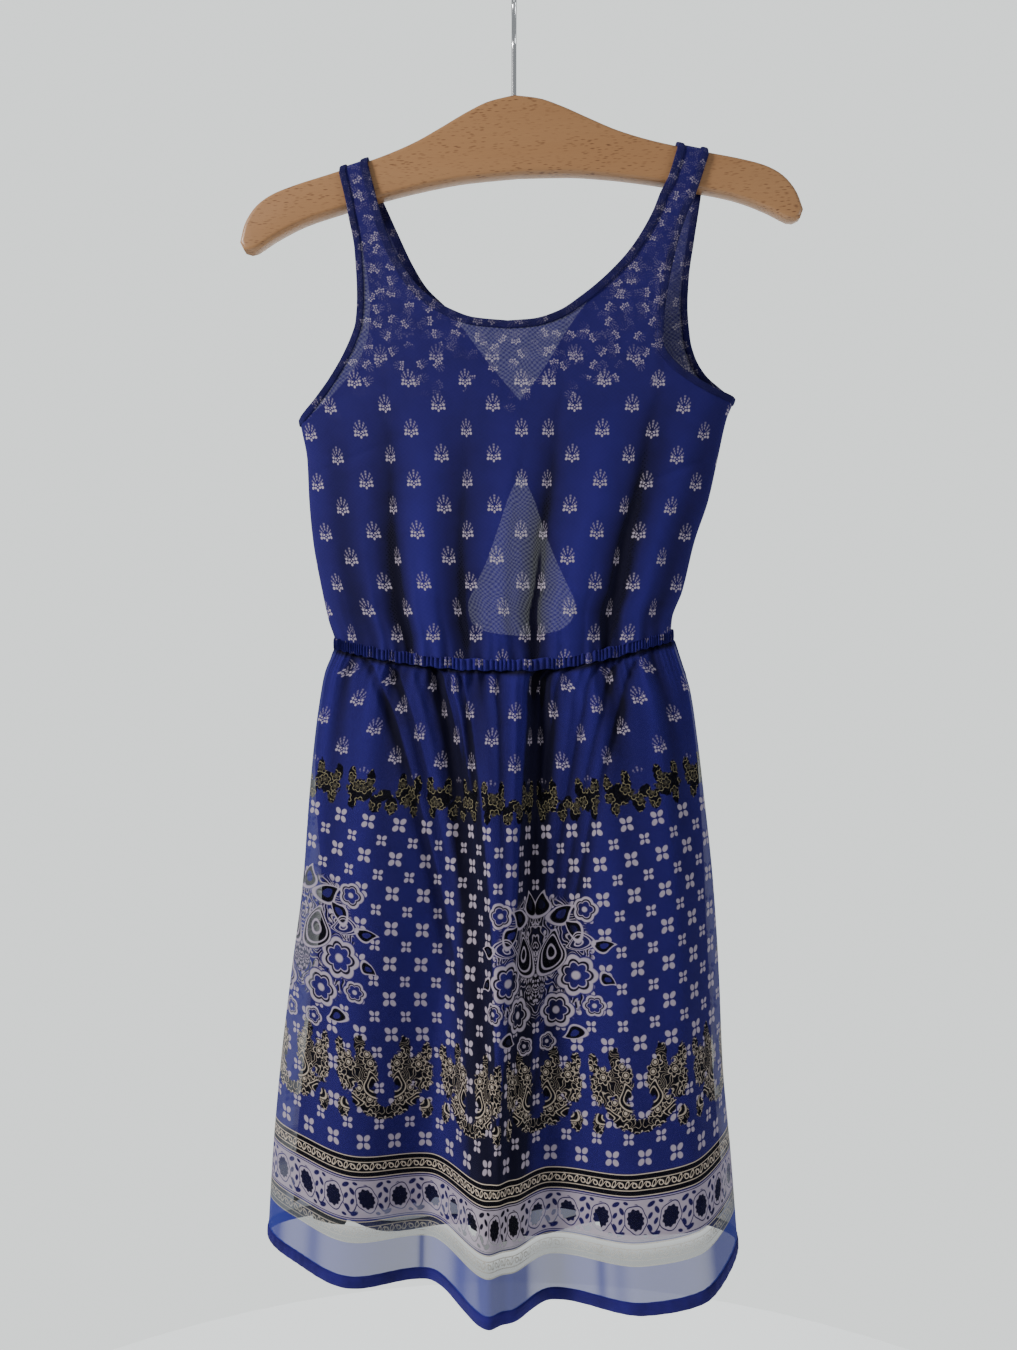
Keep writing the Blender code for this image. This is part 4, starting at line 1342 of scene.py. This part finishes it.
print("socket class ready")

# %% [markdown]
# The print's motifs are ordinary Indian block-print ones: a small sprig, a four-petalled flower,
# garlands and sprays of flowers, and a striped border with a vine. Each is built from ellipses and
# lines in its own repeat, in millimetres of cloth. Most of it mirrors about the print's middle.

# %% Motifs
SPRIG_ACROSS, SPRIG_UP, SPRIG_ROW = 21.6, 38.3, 437.5
FLOWER_ACROSS, FLOWER_UP, FLOWER_ROW = 23.2, 25.4, 101.5
SPRIG_DROPS = (
    (0, -6.3, 0.8, 1.15), (2, -4.7, 1.05, 0.85, 0.5), (4.3, -4.6, 1, 1.15, 0.3),
    (1.5, -2.4, 1, 0.6, -0.5), (3.9, -1.9, 0.9, 1, 0.3), (0, -3.6, 0.6, 0.5),
)
FULL_TURN = 6.283
RANDOM_TURN = 6.28


def sprig(s, x, y, faint):
    """A small sprig: two rows of drops, and over them a leaf-shaped fan of fainter strokes."""
    ax = abs(x)
    place = s.vector(ax, y)
    drops = nearest(s, place, SPRIG_DROPS)
    fan = s.blob(place, 0, -1.8, 5.4, 8.4)
    turn = s.math("ARCTAN2", ax, y + 3.2)
    rays = s.below(0.3 - s.math("COSINE", turn * 15), 0.0, 0.3) * s.below(turn, 1.3, 0.1)
    inner, middle, outer = (
        s.line(fan, place, half, 0.04) for place, half in ((0.42, 0.09), (0.68, 0.09), (0.92, 0.08))
    )
    strokes = most(inner, middle, outer * 0.7)
    return most(s.below(drops, 1.0, 0.18), rays * strokes * faint)


def mirrored_sprigs(s, u, h):
    """Sprigs in upright columns, each second column half a step down."""
    out = abs(u)
    column = s.math("FLOOR", out / SPRIG_ACROSS)
    odd = column._sum("FLOORED_MODULO", 2)
    x = wrapped(out - SPRIG_ACROSS / 2, SPRIG_ACROSS)
    y = wrapped(h - SPRIG_ROW - 2.0 + odd * (SPRIG_UP / 2), SPRIG_UP)
    return sprig(s, x, y, 0.6)


TUMBLED_SHRINK = 1.45


def tumbled_sprigs(s, u, h, pitch, seed):
    """Sprigs turned every way, each in its own cell."""
    off, draw, chance = s.cells(s.vector(u + seed * 31.7, h + seed * 17.3), pitch, 0.55)
    turned = s.node(
        "ShaderNodeVectorRotate",
        {"rotation_type": "Z_AXIS"},
        {"Vector": off, "Angle": draw * RANDOM_TURN},
    )
    x, y = s.split(turned.outputs[0])
    return sprig(s, x * TUMBLED_SHRINK, y * TUMBLED_SHRINK, 0.3), chance


def clovers(s, u, h):
    """Four-petalled flowers on a grid, with smaller ones in the places between."""
    masks = []
    for shift, size, lift in ((0.5, 1.0, 0.0), (0.0, 0.76, 0.5)):
        x = abs(wrapped(u - FLOWER_ACROSS * shift, FLOWER_ACROSS))
        y = abs(wrapped(h - FLOWER_ROW - FLOWER_UP * lift, FLOWER_UP))
        petal = s.blob(s.vector(x, y), 2.55 * size, 2.75 * size, 2.55 * size, 1.95 * size, 0.82)
        cross = s.below(least(x, y), 0.38, 0.14)
        masks.append(s.below(petal, 1.0, 0.1) * (1 - cross))
    return most(*masks)


print("sprig repeat", SPRIG_ACROSS, "by", SPRIG_UP, "mm")

# %% [markdown]
# Garlands and sprays are clumps of small flowers. A Voronoi pattern scatters the flowers, and its
# Position output gives each its own middle, so petals can be drawn round it. Ellipses say where
# the clumps lie.

# %% Flower clumps
def scattered_flowers(s, u, h, pitch, petals, seed):
    """Flowers scattered over the cloth: masks of their petals, their outlines and their hearts."""
    off, draw, _ = s.cells(s.vector(u + seed * 37.1, h + seed * 11.9), pitch, 0.8)
    x, y = s.split(off)
    far = s.math("SQRT", x * x + y * y)
    turn = s.math("ARCTAN2", y, x) * (petals / 2) + draw * RANDOM_TURN
    edge = pitch * (0.3 + 0.17 * abs(s.math("COSINE", turn)))
    rim = far - edge
    fill = s.below(rim, -0.06 * pitch, 0.03 * pitch)
    outline = s.line(rim, 0.0, 0.035 * pitch, 0.015 * pitch)
    heart = s.below(far, 0.12 * pitch, 0.03 * pitch)
    ring = s.line(far, 0.2 * pitch, 0.025 * pitch, 0.02 * pitch)
    return fill, outline, most(heart, ring)


def curls(s, u, h, scale, width, seed):
    """Fine curling lines, as contours of a smooth noise."""
    field = s.noise(s.vector(u + seed * 13.7, h), scale, 1.0, 0.4) * 9
    return s.below(abs(wrapped(field, 1.0)), width, 0.05)


def paisley(s, place, x, y, size, turn):
    """How far from a curled drop's middle a place is, 1 on its edge."""
    px, py = s.split(s.inside(place, x, y, size, size, turn))
    bent = px - 0.42 * py * abs(py)
    wide = bent / (0.66 - 0.4 * py)
    return s.math("SQRT", wide * wide + py * py)


print("clump helpers ready")

# %% [markdown]
# The chiffon is one shader with two settings: the skirt's single sheer layer, and the bodice's
# doubled one, which lets little through. The base is a navy dye with painted shade: a lit navy where
# one layer hangs flat, and a darker one painted into the folds. White, gold and cream pigment are
# printed over it and close the weave. The print's black parts are nearly clear: they show the dark
# lining, and turn pale where there is none, partly from the backdrop through them and partly from
# painted backlight. Where no lining hangs behind the skirt, a brighter blue is painted in as
# backlight. A fine plain weave gives grain, and waves in the bodice's sheerness stand for its moire.

# %% Chiffon shader
# NAVY_LIT and NAVY are a lit and a shaded copy of one dye, and painted fold shade mixes between them.
NAVY = (0.0028, 0.0016, 0.015, 1)
NAVY_LIT = (0.0225, 0.0135, 0.175, 1)
# The sheer blue, the paler clear black and the greyer cream are painted backlight: the ground and the print
# as they look with light shining through where no lining hangs.
BACKLIT_SHEER_BLUE = (0.030, 0.040, 0.30, 1)
PIGMENT = (0.40, 0.34, 0.41, 1)
CLEAR = (0.0050, 0.0045, 0.0055, 1)
CLEAR_BACKLIT = (0.11, 0.12, 0.115, 1)
GOLD = (0.42, 0.36, 0.20, 1)
CREAM = (0.60, 0.50, 0.40, 1)
CREAM_BACKLIT = (0.34, 0.32, 0.28, 1)
CHIFFON_SHEEN = {"Sheen_Weight": 0.08, "Sheen_Tint": (0.25, 0.3, 1, 1), "Specular_IOR_Level": 0.12}


def weave(s, u, h, pitch=0.55):
    """Threads over and under, as a height."""
    across = s.math("SINE", u * (FULL_TURN / pitch))
    up = s.math("SINE", h * (FULL_TURN / pitch))
    return across * up


def crumple(s):
    """Soft unevenness over the cloth."""
    return s.noise(s.coordinate("Object"), 60, 3.0, 0.55, "3D")


def bodice_print_masks(s, u, h):
    """White pigment on the bodice: sprigs in columns, and tumbled ones over the shoulders."""
    regular = mirrored_sprigs(s, u, h)
    first, chance = tumbled_sprigs(s, u, h, 11.0, 1)
    second, chance2 = tumbled_sprigs(s, u, h, 7.5, 2)
    wander = s.noise(s.vector(u, h), 0.03, 1.0)
    height = h + wander * 44 - 22
    some = s.below(chance * 70 - (height - 628), 0, 2) * s.below(-chance, -0.3, 0.01)
    many = s.below(chance2 * 90 - (height - 660), 0, 2)
    return most(regular * s.below(h, 690, 15), first * some * 0.7, second * many * 0.12)


def navy_with_painted_shade(s, light, dark):
    """The navy dye with painted light and shade: unevenly lit through, and painted darker in the folds."""
    uneven = crumple(s)
    return s.mix(least(s.attribute("folded") * 1.1 + uneven * 0.24 - 0.06, 1.0), light, dark)


def chiffon(name, closed):
    """The dress's cloth. Closed is the doubled bodice's alpha, or None for the sheer skirt."""
    s = Shader(name)
    u, h = s.cloth()
    ground = navy_with_painted_shade(s, NAVY_LIT, NAVY)
    if closed:
        white = bodice_print_masks(s, u, h)
        wave = s.math("SINE", h * 1.9 + s.noise(s.vector(u, h), 0.05, 1.0) * 12)
        across = s.math("SINE", u * 1.6 + s.noise(s.vector(u + 50, h), 0.05, 1.0) * 12)
        moire = wave * across * (1 - closed) * 0.85
        alpha = most(closed + moire, white * 0.97, s.attribute("folded"))
        colour = s.mix(white, ground, PIGMENT)
    else:
        colour, alpha = skirt_print_masks(s, u, h, ground)
    s.set(
        Base_Color=colour,
        Alpha=alpha,
        Roughness=0.66,
        Normal=s.bump(weave(s, u, h) * 0.5 + crumple(s) * 1.5, 0.00035, 0.5),
        Sheen_Roughness=0.45,
        **CHIFFON_SHEEN,
    )
    return s.material


print("weave pitch 0.55 mm")

# %% [markdown]
# Up the skirt from the hem: plain sheer cloth, a striped scroll, a pale band with round flowers on
# a vine, a second scroll, sprays of flowers and paisley, a field of small flowers with two large
# medallions in it, a garland, and then the sprigs again up to the waist.

# %% Skirt print
SCROLLS = ((31.5, 46.5), (76.5, 91.5))
SCROLL_PITCH = 9.5
VINE_BAND = (47.5, 75.5)
VINE_PITCH = 25.0
VINE_LEAVES = (
    (-1.6, 9.6, 3, 1.5, 0.5), (2.6, 5.4, 1.5, 2.6, 0.5), (-2.2, 2.2, 1.3, 2.4, -0.6),
    (1.9, -1.6, 1.3, 2.3, -0.5), (-2.4, -5.6, 1.5, 2.5, 0.5), (2.2, -9.8, 3, 1.5, 0.4),
    (-5.4, -10.6, 1.8, 1.1, -0.3), (5.4, 10.8, 1.8, 1.1, -0.3),
)
SPRAY_ROW, SPRAY_PITCH = 146.0, 79.0
SPRAY_CLUMP = (
    (14, 6, 9, 14), (28, 4, 8, 14), (16, -13, 9, 8), (31, -22, 4.5, 7), (3, -24, 6, 4.5),
    (11, -20, 7, 6), (17, 23, 4, 7), (33, 19, 3.5, 7),
)
MEDALLION_ROW, MEDALLION_PITCH = 232.0, 226.0
MEDALLION_STRETCH = 1.15
GARLAND_ROW, GARLAND_PITCH = 352.0, 66.0
GARLAND_CLUMP = (
    (14, 0, 11, 8), (6, 9, 3.4, 7), (21, 9, 3.4, 7.5), (27, -8, 4.5, 7), (33, -1, 5, 4.5), (9, -9, 3.5, 6),
)
CLOVER_BAND = (94, 338)
SPRIGS_START = 366
LINING_ENDS, LINING_BLUR = 44, 6


def band_mask(s, h, low, high, blur=0.25):
    return s.line(h, (low + high) / 2, (high - low) / 2, blur)


def scroll_stripe(s, u, h, low, high):
    """A black stripe with pale lines at its edges and a row of loops."""
    middle = (low + high) / 2
    half = (high - low) / 2
    away = abs(h - middle)
    lines = most(s.line(away, half - 0.45, 0.35, 0.15), s.line(away, half - 4.1, 0.32, 0.15))
    place = s.vector(wrapped(u, SCROLL_PITCH), h - middle)
    loop = s.line(s.blob(place, -1.9, 0.0, 1.55, 1.5), 1.0, 0.24, 0.12)
    tall = s.line(s.blob(place, 2.4, 0.5, 1.0, 2.2, -0.4), 1.0, 0.24, 0.12)
    swing = 1.9 * s.math("SINE", u * (FULL_TURN / SCROLL_PITCH) + 0.4)
    stem = s.line(h - middle + swing, 0.0, 0.36, 0.15)
    return band_mask(s, h, low, high), most(lines, loop, tall, stem * s.below(away, 2.6, 0.2))


def vine(s, u, h):
    """The pale band: where its round flowers, their rings, the stem and leaves leave navy showing."""
    low, high = VINE_BAND
    middle = (low + high) / 2
    up = h - middle
    x = wrapped(u, VINE_PITCH)
    place = s.vector(x, up - 1.4 * s.math("SINE", u * (3.1416 / VINE_PITCH)))
    turn = s.math("ARCTAN2", x, up)
    far = s.blob(place, 0, 0, 7.9, 9.2)
    scallop = far + 0.05 * s.math("COSINE", turn * 11)
    flower = s.below(scallop, 0.74, 0.03)
    ring = s.line(far + 0.05 * s.math("COSINE", turn * 5 + 1), 1.0, 0.04, 0.02)
    swing = 9.5 * s.math("SINE", u * (FULL_TURN / VINE_PITCH) + 1.57)
    stem = s.line(up - swing, 0.0, 0.8, 0.3)
    corner = s.vector(wrapped(u - VINE_PITCH / 2, VINE_PITCH), up)
    leaves = nearest(s, corner, VINE_LEAVES)
    outside = s.below(-far, -1.06, 0.03)
    marks = most(flower, ring, outside * most(stem, s.below(leaves, 1.0, 0.15)))
    edges = most(s.line(h, low + 0.9, 0.3, 0.15), s.line(h, high - 0.9, 0.3, 0.15))
    return band_mask(s, h, low, high), most(marks, edges), flower


def clump_shape(s, u, h, pitch, row, ellipses):
    """Mirrored clumps in a row: the distance to the nearest of their ellipses, ragged at the edge."""
    place = s.vector(abs(wrapped(u, pitch)), h - row)
    ragged = s.noise(s.vector(u, h), 0.32, 2.0) * 0.7 - 0.35
    return nearest(s, place, ellipses) + ragged


def scalloped(s, place, x, y, size, petals):
    """A scalloped flower with a thick pale outline and a pale eye, and all that it covers."""
    px, py = s.split(s.inside(place, x, y, size, size))
    far = s.math("SQRT", px * px + py * py)
    rim = far - 0.17 * abs(s.math("COSINE", s.math("ARCTAN2", py, px) * (petals / 2)))
    pale = most(s.line(rim, 0.72, 0.1, 0.03), s.line(rim, 0.47, 0.03, 0.02), s.below(far, 0.2, 0.04))
    return s.below(rim, 0.9, 0.03), pale, s.line(rim, 0.57, 0.05, 0.02)


MEDALLION_FLOWERS = (
    (31, -6, 15, 7), (17, -31, 13, 6), (43, -27, 8, 6), (38, 41, 9.5, 5), (10, -53, 7, 5),
)
MEDALLION_LEAVES = (
    (20, 38, 9.5, -0.6), (29, 27, 8.0, 1.2), (5, 46, 8.5, 0.2), (50, 15, 6.5, -1.1),
    (29, -47, 7.0, 2.4), (52, -9, 5.5, -1.8),
)


def medallion(s, u, h):
    """The large mirrored bouquet: what it covers, and where it is pale and dark."""
    mirrored = abs(wrapped(u, MEDALLION_PITCH))
    place = s.vector(mirrored / MEDALLION_STRETCH, h - MEDALLION_ROW)
    covers, pale, dark = [], [], []
    for one in MEDALLION_FLOWERS:
        whole, light, edge = scalloped(s, place, *one)
        covers.append(whole)
        pale.append(light)
        dark.append(edge)
    leaves = least(*(paisley(s, place, *one) for one in MEDALLION_LEAVES))
    covers.append(s.below(leaves, 1.12, 0.05))
    pale.append(s.line(leaves, 1.0, 0.13, 0.05))
    dark.append(s.line(leaves, 0.66, 0.2, 0.04))
    large = paisley(s, place, 12, 11, 16, 0.2)
    small = paisley(s, place, 33, 17, 10, 2.3)
    for drop, inside in ((large, 1.0), (small, 0.25)):
        covers.append(s.below(drop, 1.0, 0.04))
        rings = ((0.93, 0.05, 0.02), (0.72, 0.04, 0.02), (0.3, 0.06, 0.03))
        pale.append(most(*(s.line(drop, *ring) for ring in rings)))
        dark.append(s.below(drop, 0.98, 0.03) * inside)
    fan = s.blob(place, 2, -12, 6, 12)
    in_fan = s.below(fan, 1.0, 0.05)
    turn = s.math("ARCTAN2", h - MEDALLION_ROW + 14, mirrored - 4)
    scales = s.math("SINE", fan * 16) * s.math("SINE", turn * 9)
    pale.append(in_fan * s.below(-scales, -0.1, 0.15) * 0.8)
    dark.append(in_fan * 0.8)
    covers.append(in_fan)
    over = most(covers[-2], covers[-3])
    flowers = most(*pale[:5])
    open_ground = 1 - most(*covers)
    tangle = s.below(s.blob(place, 15, 4, 27, 46), 1.0, 0.05) * open_ground
    threads = curls(s, mirrored, h, 0.075, 0.13, 5) * tangle
    shadows = curls(s, mirrored + 1.1, h, 0.075, 0.2, 5) * tangle
    pale = most(flowers * (1 - over), *pale[5:8], pale[8] * (1 - over), threads * 0.85)
    return most(*covers, threads, shadows), pale, most(*dark, shadows)


def skirt_print_masks(s, u, h, ground):
    """The skirt's colour and alpha. Its black is nearly clear, and reads black over the lining. Where no
    lining lies behind, painted backlight makes the ground a brighter blue, the clear black paler and the
    cream greyer.
    """
    white = most(
        clovers(s, u, h) * band_mask(s, h, *CLOVER_BAND, 0.5),
        mirrored_sprigs(s, u, h) * s.below(-h, -SPRIGS_START, 1),
    )
    garland = clump_shape(s, u, h, GARLAND_PITCH, GARLAND_ROW, GARLAND_CLUMP)
    spray = clump_shape(s, u, h, SPRAY_PITCH, SPRAY_ROW, SPRAY_CLUMP)
    in_garland = s.below(garland, 1.0, 0.06)
    in_spray = s.below(spray, 1.0, 0.06)
    in_medal, medal_pale, medal_dark = medallion(s, u, h)

    small_line, small_heart = scattered_flowers(s, u, h, 9.0, 5, 1)[1:]
    mirrored = abs(wrapped(u, SPRAY_PITCH))
    fill, line, heart = scattered_flowers(s, mirrored, h, 11.5, 6, 2)
    scroll = curls(s, mirrored, h, 0.1, 0.09, 1) * (1 - fill)

    drops = s.vector(mirrored, h - SPRAY_ROW)
    drop = least(paisley(s, drops, 9.0, -4, 10, 0.2), paisley(s, drops, 24.0, -17, 9, 1.9))
    body = s.below(drop, 1.0, 0.05)
    lines = most(s.line(drop, 0.88, 0.07, 0.03), s.line(drop, 0.5, 0.06, 0.03))

    clear = (1 - in_garland) * (1 - in_spray) * (1 - in_medal)
    white = most(white * clear, in_medal * medal_pale)
    black = most(in_garland, in_spray, in_medal * medal_dark * (1 - medal_pale))
    gold = in_garland * most(small_line * 0.75, small_heart * 0.4)
    cream = in_spray * most(most(line, heart, scroll * 0.9) * (1 - body), lines * body) * 0.85

    for low, high in SCROLLS:
        stripe, marks = scroll_stripe(s, u, h, low, high)
        black = most(black, stripe)
        cream = most(cream, stripe * marks)
    pale, marks, discs = vine(s, u, h)
    white = most(white, pale * (1 - marks))
    black = most(black, pale * discs * 0.7, pale * marks * 0.25)

    beside = s.attribute("unlined")
    below_lining = s.below(h, LINING_ENDS, LINING_BLUR)
    unlined = most(below_lining, beside * 0.3)
    printed = most(white, cream, gold)
    # Painted backlight: a brighter blue where no lining lies behind the sheer cloth.
    colour = s.mix(unlined * 0.8, ground, BACKLIT_SHEER_BLUE)
    # Painted backlight: where unlined, the clear black takes a paler copy, and below the lining the cream a
    # greyer one.
    colour = s.mix(black * 0.96, colour, s.mix(unlined, CLEAR, CLEAR_BACKLIT))
    colour = s.mix(white * 0.95, colour, PIGMENT)
    colour = s.mix(gold, colour, GOLD)
    colour = s.mix(cream, colour, s.mix(below_lining, CREAM, CREAM_BACKLIT))
    bare = black * (1 - printed)
    sheer = 0.79 + s.attribute("folded") * 0.2 - unlined * 0.05
    clear_alpha = 0.3 + most(below_lining * 0.4, beside * 0.45)
    cream_alpha = cream * (0.85 - unlined * 0.35)
    return colour, most(sheer * (1 - bare) + bare * clear_alpha, white * 0.93, cream_alpha)


front_cloth = chiffon("doubled_printed_chiffon", 0.962)
back_cloth = chiffon("faced_printed_chiffon", 0.985)
skirt_cloth = chiffon("sheer_printed_chiffon", None)
print("skirt shader", len(skirt_cloth.node_tree.nodes), "nodes")

# %% [markdown]
# The other cloths are plainer: folded chiffon for bindings and hem, which is thick enough to look
# dark, and a closely woven lining.

# %% Binding, hem and lining finishes
def folded_chiffon(name, printed, darkness):
    s = Shader(name)
    u, h = s.cloth()
    dark = tuple(1.5 * darkness * value for value in NAVY[:3]) + (1,)
    light = tuple(0.75 * darkness * value for value in NAVY_LIT[:3]) + (1,)
    colour = s.mix(crumple(s), dark, light)
    if printed:
        colour = s.mix(bodice_print_masks(s, u, h) * printed, colour, PIGMENT)
    threads = weave(s, u, h, 0.6)
    s.set(
        Base_Color=colour,
        Roughness=0.7,
        Normal=s.bump(threads + crumple(s) * 2.5, 0.0005, 0.6),
        **CHIFFON_SHEEN,
    )
    return s.material


def lining_finish():
    s = Shader("navy_lining")
    u, h = s.cloth()
    colour = s.mix(crumple(s), (0.0018, 0.0015, 0.0050, 1), (0.0030, 0.0024, 0.0100, 1))
    bump = s.bump(weave(s, u, h, 0.5), 0.0002, 0.3)
    s.set(Base_Color=colour, Roughness=0.7, Normal=bump, Specular_IOR_Level=0.1)
    return s.material


binding_cloth = folded_chiffon("bound_edge", 0.6, 0.9)
casing_cloth = folded_chiffon("ruched_casing", 0.85, 2.3)
hem_cloth = folded_chiffon("turned_hem", 0.0, 2.0)
lining_cloth = lining_finish()
print("cloth finishes", len(bpy.data.materials))

# %% [markdown]
# Beech is pinkish tan with short dark flecks that run along the grain. Here the grain runs along the
# hanger. The flecks are a stretched Voronoi, and clear lacquer lies over the lot.

# %% Beech and chrome
def beech():
    s = Shader("lacquered_beech")
    tilt = {"Vector": s.coordinate("Object"), "Rotation": (0, HANGER_TILT, 0)}
    place = s.node("ShaderNodeMapping", None, tilt).outputs[0]

    def stretched(scale):
        return s.node("ShaderNodeMapping", None, {"Vector": place, "Scale": scale}).outputs[0]

    bands = s.noise(stretched((3, 14, 26)), 1.0, 4.0, 0.55, "3D")
    fibres = s.noise(stretched((40, 900, 1100)), 1.0, 2.0, 0.6, "3D")
    cells = s.node(
        "ShaderNodeTexVoronoi", {"feature": "F1"}, {"Vector": stretched((150, 520, 760)), "Scale": 1.0}
    )
    flecks = s.below(Field(s, cells.outputs["Distance"]), 0.26, 0.1)
    patchy = 0.35 + 0.65 * s.below(-s.noise(stretched((14, 60, 80)), 1.0, 2.0, 0.5, "3D"), -0.5, 0.1)
    tone = s.mix(bands, (0.33, 0.155, 0.058, 1), (0.41, 0.215, 0.092, 1))
    tone = s.mix(fibres * 0.35, tone, (0.25, 0.11, 0.04, 1))
    tone = s.mix(flecks * patchy * 0.9, tone, (0.11, 0.04, 0.013, 1))
    s.set(
        Base_Color=tone,
        Roughness=0.42 + fibres * 0.12,
        Normal=s.bump(fibres - flecks * 0.6, 0.0002, 0.35),
        Coat_Weight=0.25,
        Coat_Roughness=0.3,
    )
    return s.material


def chrome():
    s = Shader("chromed_wire")
    marks = s.noise(s.coordinate("Object"), 900, 2.0, 0.6, "3D")
    s.set(Base_Color=(0.72, 0.72, 0.73, 1), Metallic=1.0, Roughness=0.13 + marks * 0.12)
    return s.material


beech_finish, chrome_finish = beech(), chrome()
print("hard finishes ready")

# %% [markdown]
# Each piece takes its finish, rides on the one body, and stands for its CAD wall. Each sheet of
# cloth also prints its area as it hangs.

# %% Dress the frame
FINISHES = {
    "bodice_front": (front_cloth, "chiffon"),
    "bodice_back": (back_cloth, "chiffon"),
    "neck_binding": (binding_cloth, "binding"),
    "arm_binding": (binding_cloth, "binding"),
    "keyhole_binding": (binding_cloth, "binding"),
    "waist_casing": (casing_cloth, "casing"),
    "skirt": (skirt_cloth, "chiffon"),
    "hem_band": (hem_cloth, "hem"),
    "lining": (lining_cloth, "lining"),
    "hanger_wood": (beech_finish, "beech"),
    "hanger_hook": (chrome_finish, "wire"),
}
for node, piece in pieces.items():
    finish, slot = next(value for key, value in FINISHES.items() if node.startswith(key))
    piece.data.materials.clear()
    piece.data.materials.append(finish)
    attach(piece, "root")
    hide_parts(node)


def mesh_area(piece):
    return sum(face.area for face in piece.data.polygons)


for part in SIDES.values():
    bodice = pieces[f"bodice_{part}"]
    skirt = pieces[f"skirt_{part}"]
    lining = pieces[f"lining_{part}"]
    for piece in (bodice, skirt, lining):
        print(piece.name, "area", round(mesh_area(piece), 4), "square metres")

# %% [markdown]
# A plain pale floor lies well below the hem. The camera sees pale air behind the dress, and the air
# that lights it is dimmer. Large soft lights from the front left and right show the folds, and one
# behind brightens the back and the sheer hem.

# %% Floor, air and lights
PALE_AIR = (0.955, 1.0, 0.99, 1)
DIM_AIR = (0.92, 0.97, 1.0, 1)
bpy.ops.mesh.primitive_circle_add(vertices=96, radius=1.3, fill_type="NGON", location=(0, 0, -1.75))
floor = bpy.context.object
floor.name = "floor"
floor_shader = Shader("pale_floor")
grain = floor_shader.noise(floor_shader.coordinate("Object"), 3, 3.0, 0.5, "3D")
floor_shader.set(
    Base_Color=floor_shader.mix(grain, (0.66, 0.68, 0.68, 1), (0.70, 0.72, 0.72, 1)),
    Roughness=0.9,
    Emission_Color=PALE_AIR,
    Emission_Strength=0.8,
)
floor.data.materials.append(floor_shader.material)

world = bpy.data.worlds.new("studio air")
world.use_nodes = True
air_nodes = world.node_tree
pale = air_nodes.nodes["Background"]
dim = air_nodes.nodes.new("ShaderNodeBackground")
for background, colour, strength in ((pale, PALE_AIR, 1.3), (dim, DIM_AIR, 0.34)):
    background.inputs["Color"].default_value = colour
    background.inputs["Strength"].default_value = strength
seen = air_nodes.nodes.new("ShaderNodeLightPath")
both = air_nodes.nodes.new("ShaderNodeMixShader")
air_nodes.links.new(seen.outputs["Is Camera Ray"], both.inputs[0])
air_nodes.links.new(dim.outputs[0], both.inputs[1])
air_nodes.links.new(pale.outputs[0], both.inputs[2])
air_nodes.links.new(both.outputs[0], air_nodes.nodes["World Output"].inputs["Surface"])
bpy.context.scene.world = world


def soft_light(name, place, target, size, power, colour=(1, 1, 1)):
    data = bpy.data.lights.new(name, "AREA")
    data.shape = "DISK"
    data.size = size
    data.energy = power
    data.color = colour
    light = bpy.data.objects.new(name, data)
    light.location = place
    way = np.array(target) - np.array(place)
    light.rotation_euler = Vector(way).to_track_quat("-Z", "Y").to_euler()
    bpy.context.scene.collection.objects.link(light)
    return light


soft_light("key", (-1.8, -0.9, 0.4), (0, 0, -0.55), 0.6, 58, (1, 0.99, 0.97))
soft_light("fill", (2.0, -1.0, -0.2), (0, 0, -0.6), 1.0, 14, (0.95, 0.98, 1))
soft_light("back", (0.3, 1.9, -0.2), (0, 0, -0.6), 1.6, 20, (0.97, 0.99, 1))
print("three soft lights")
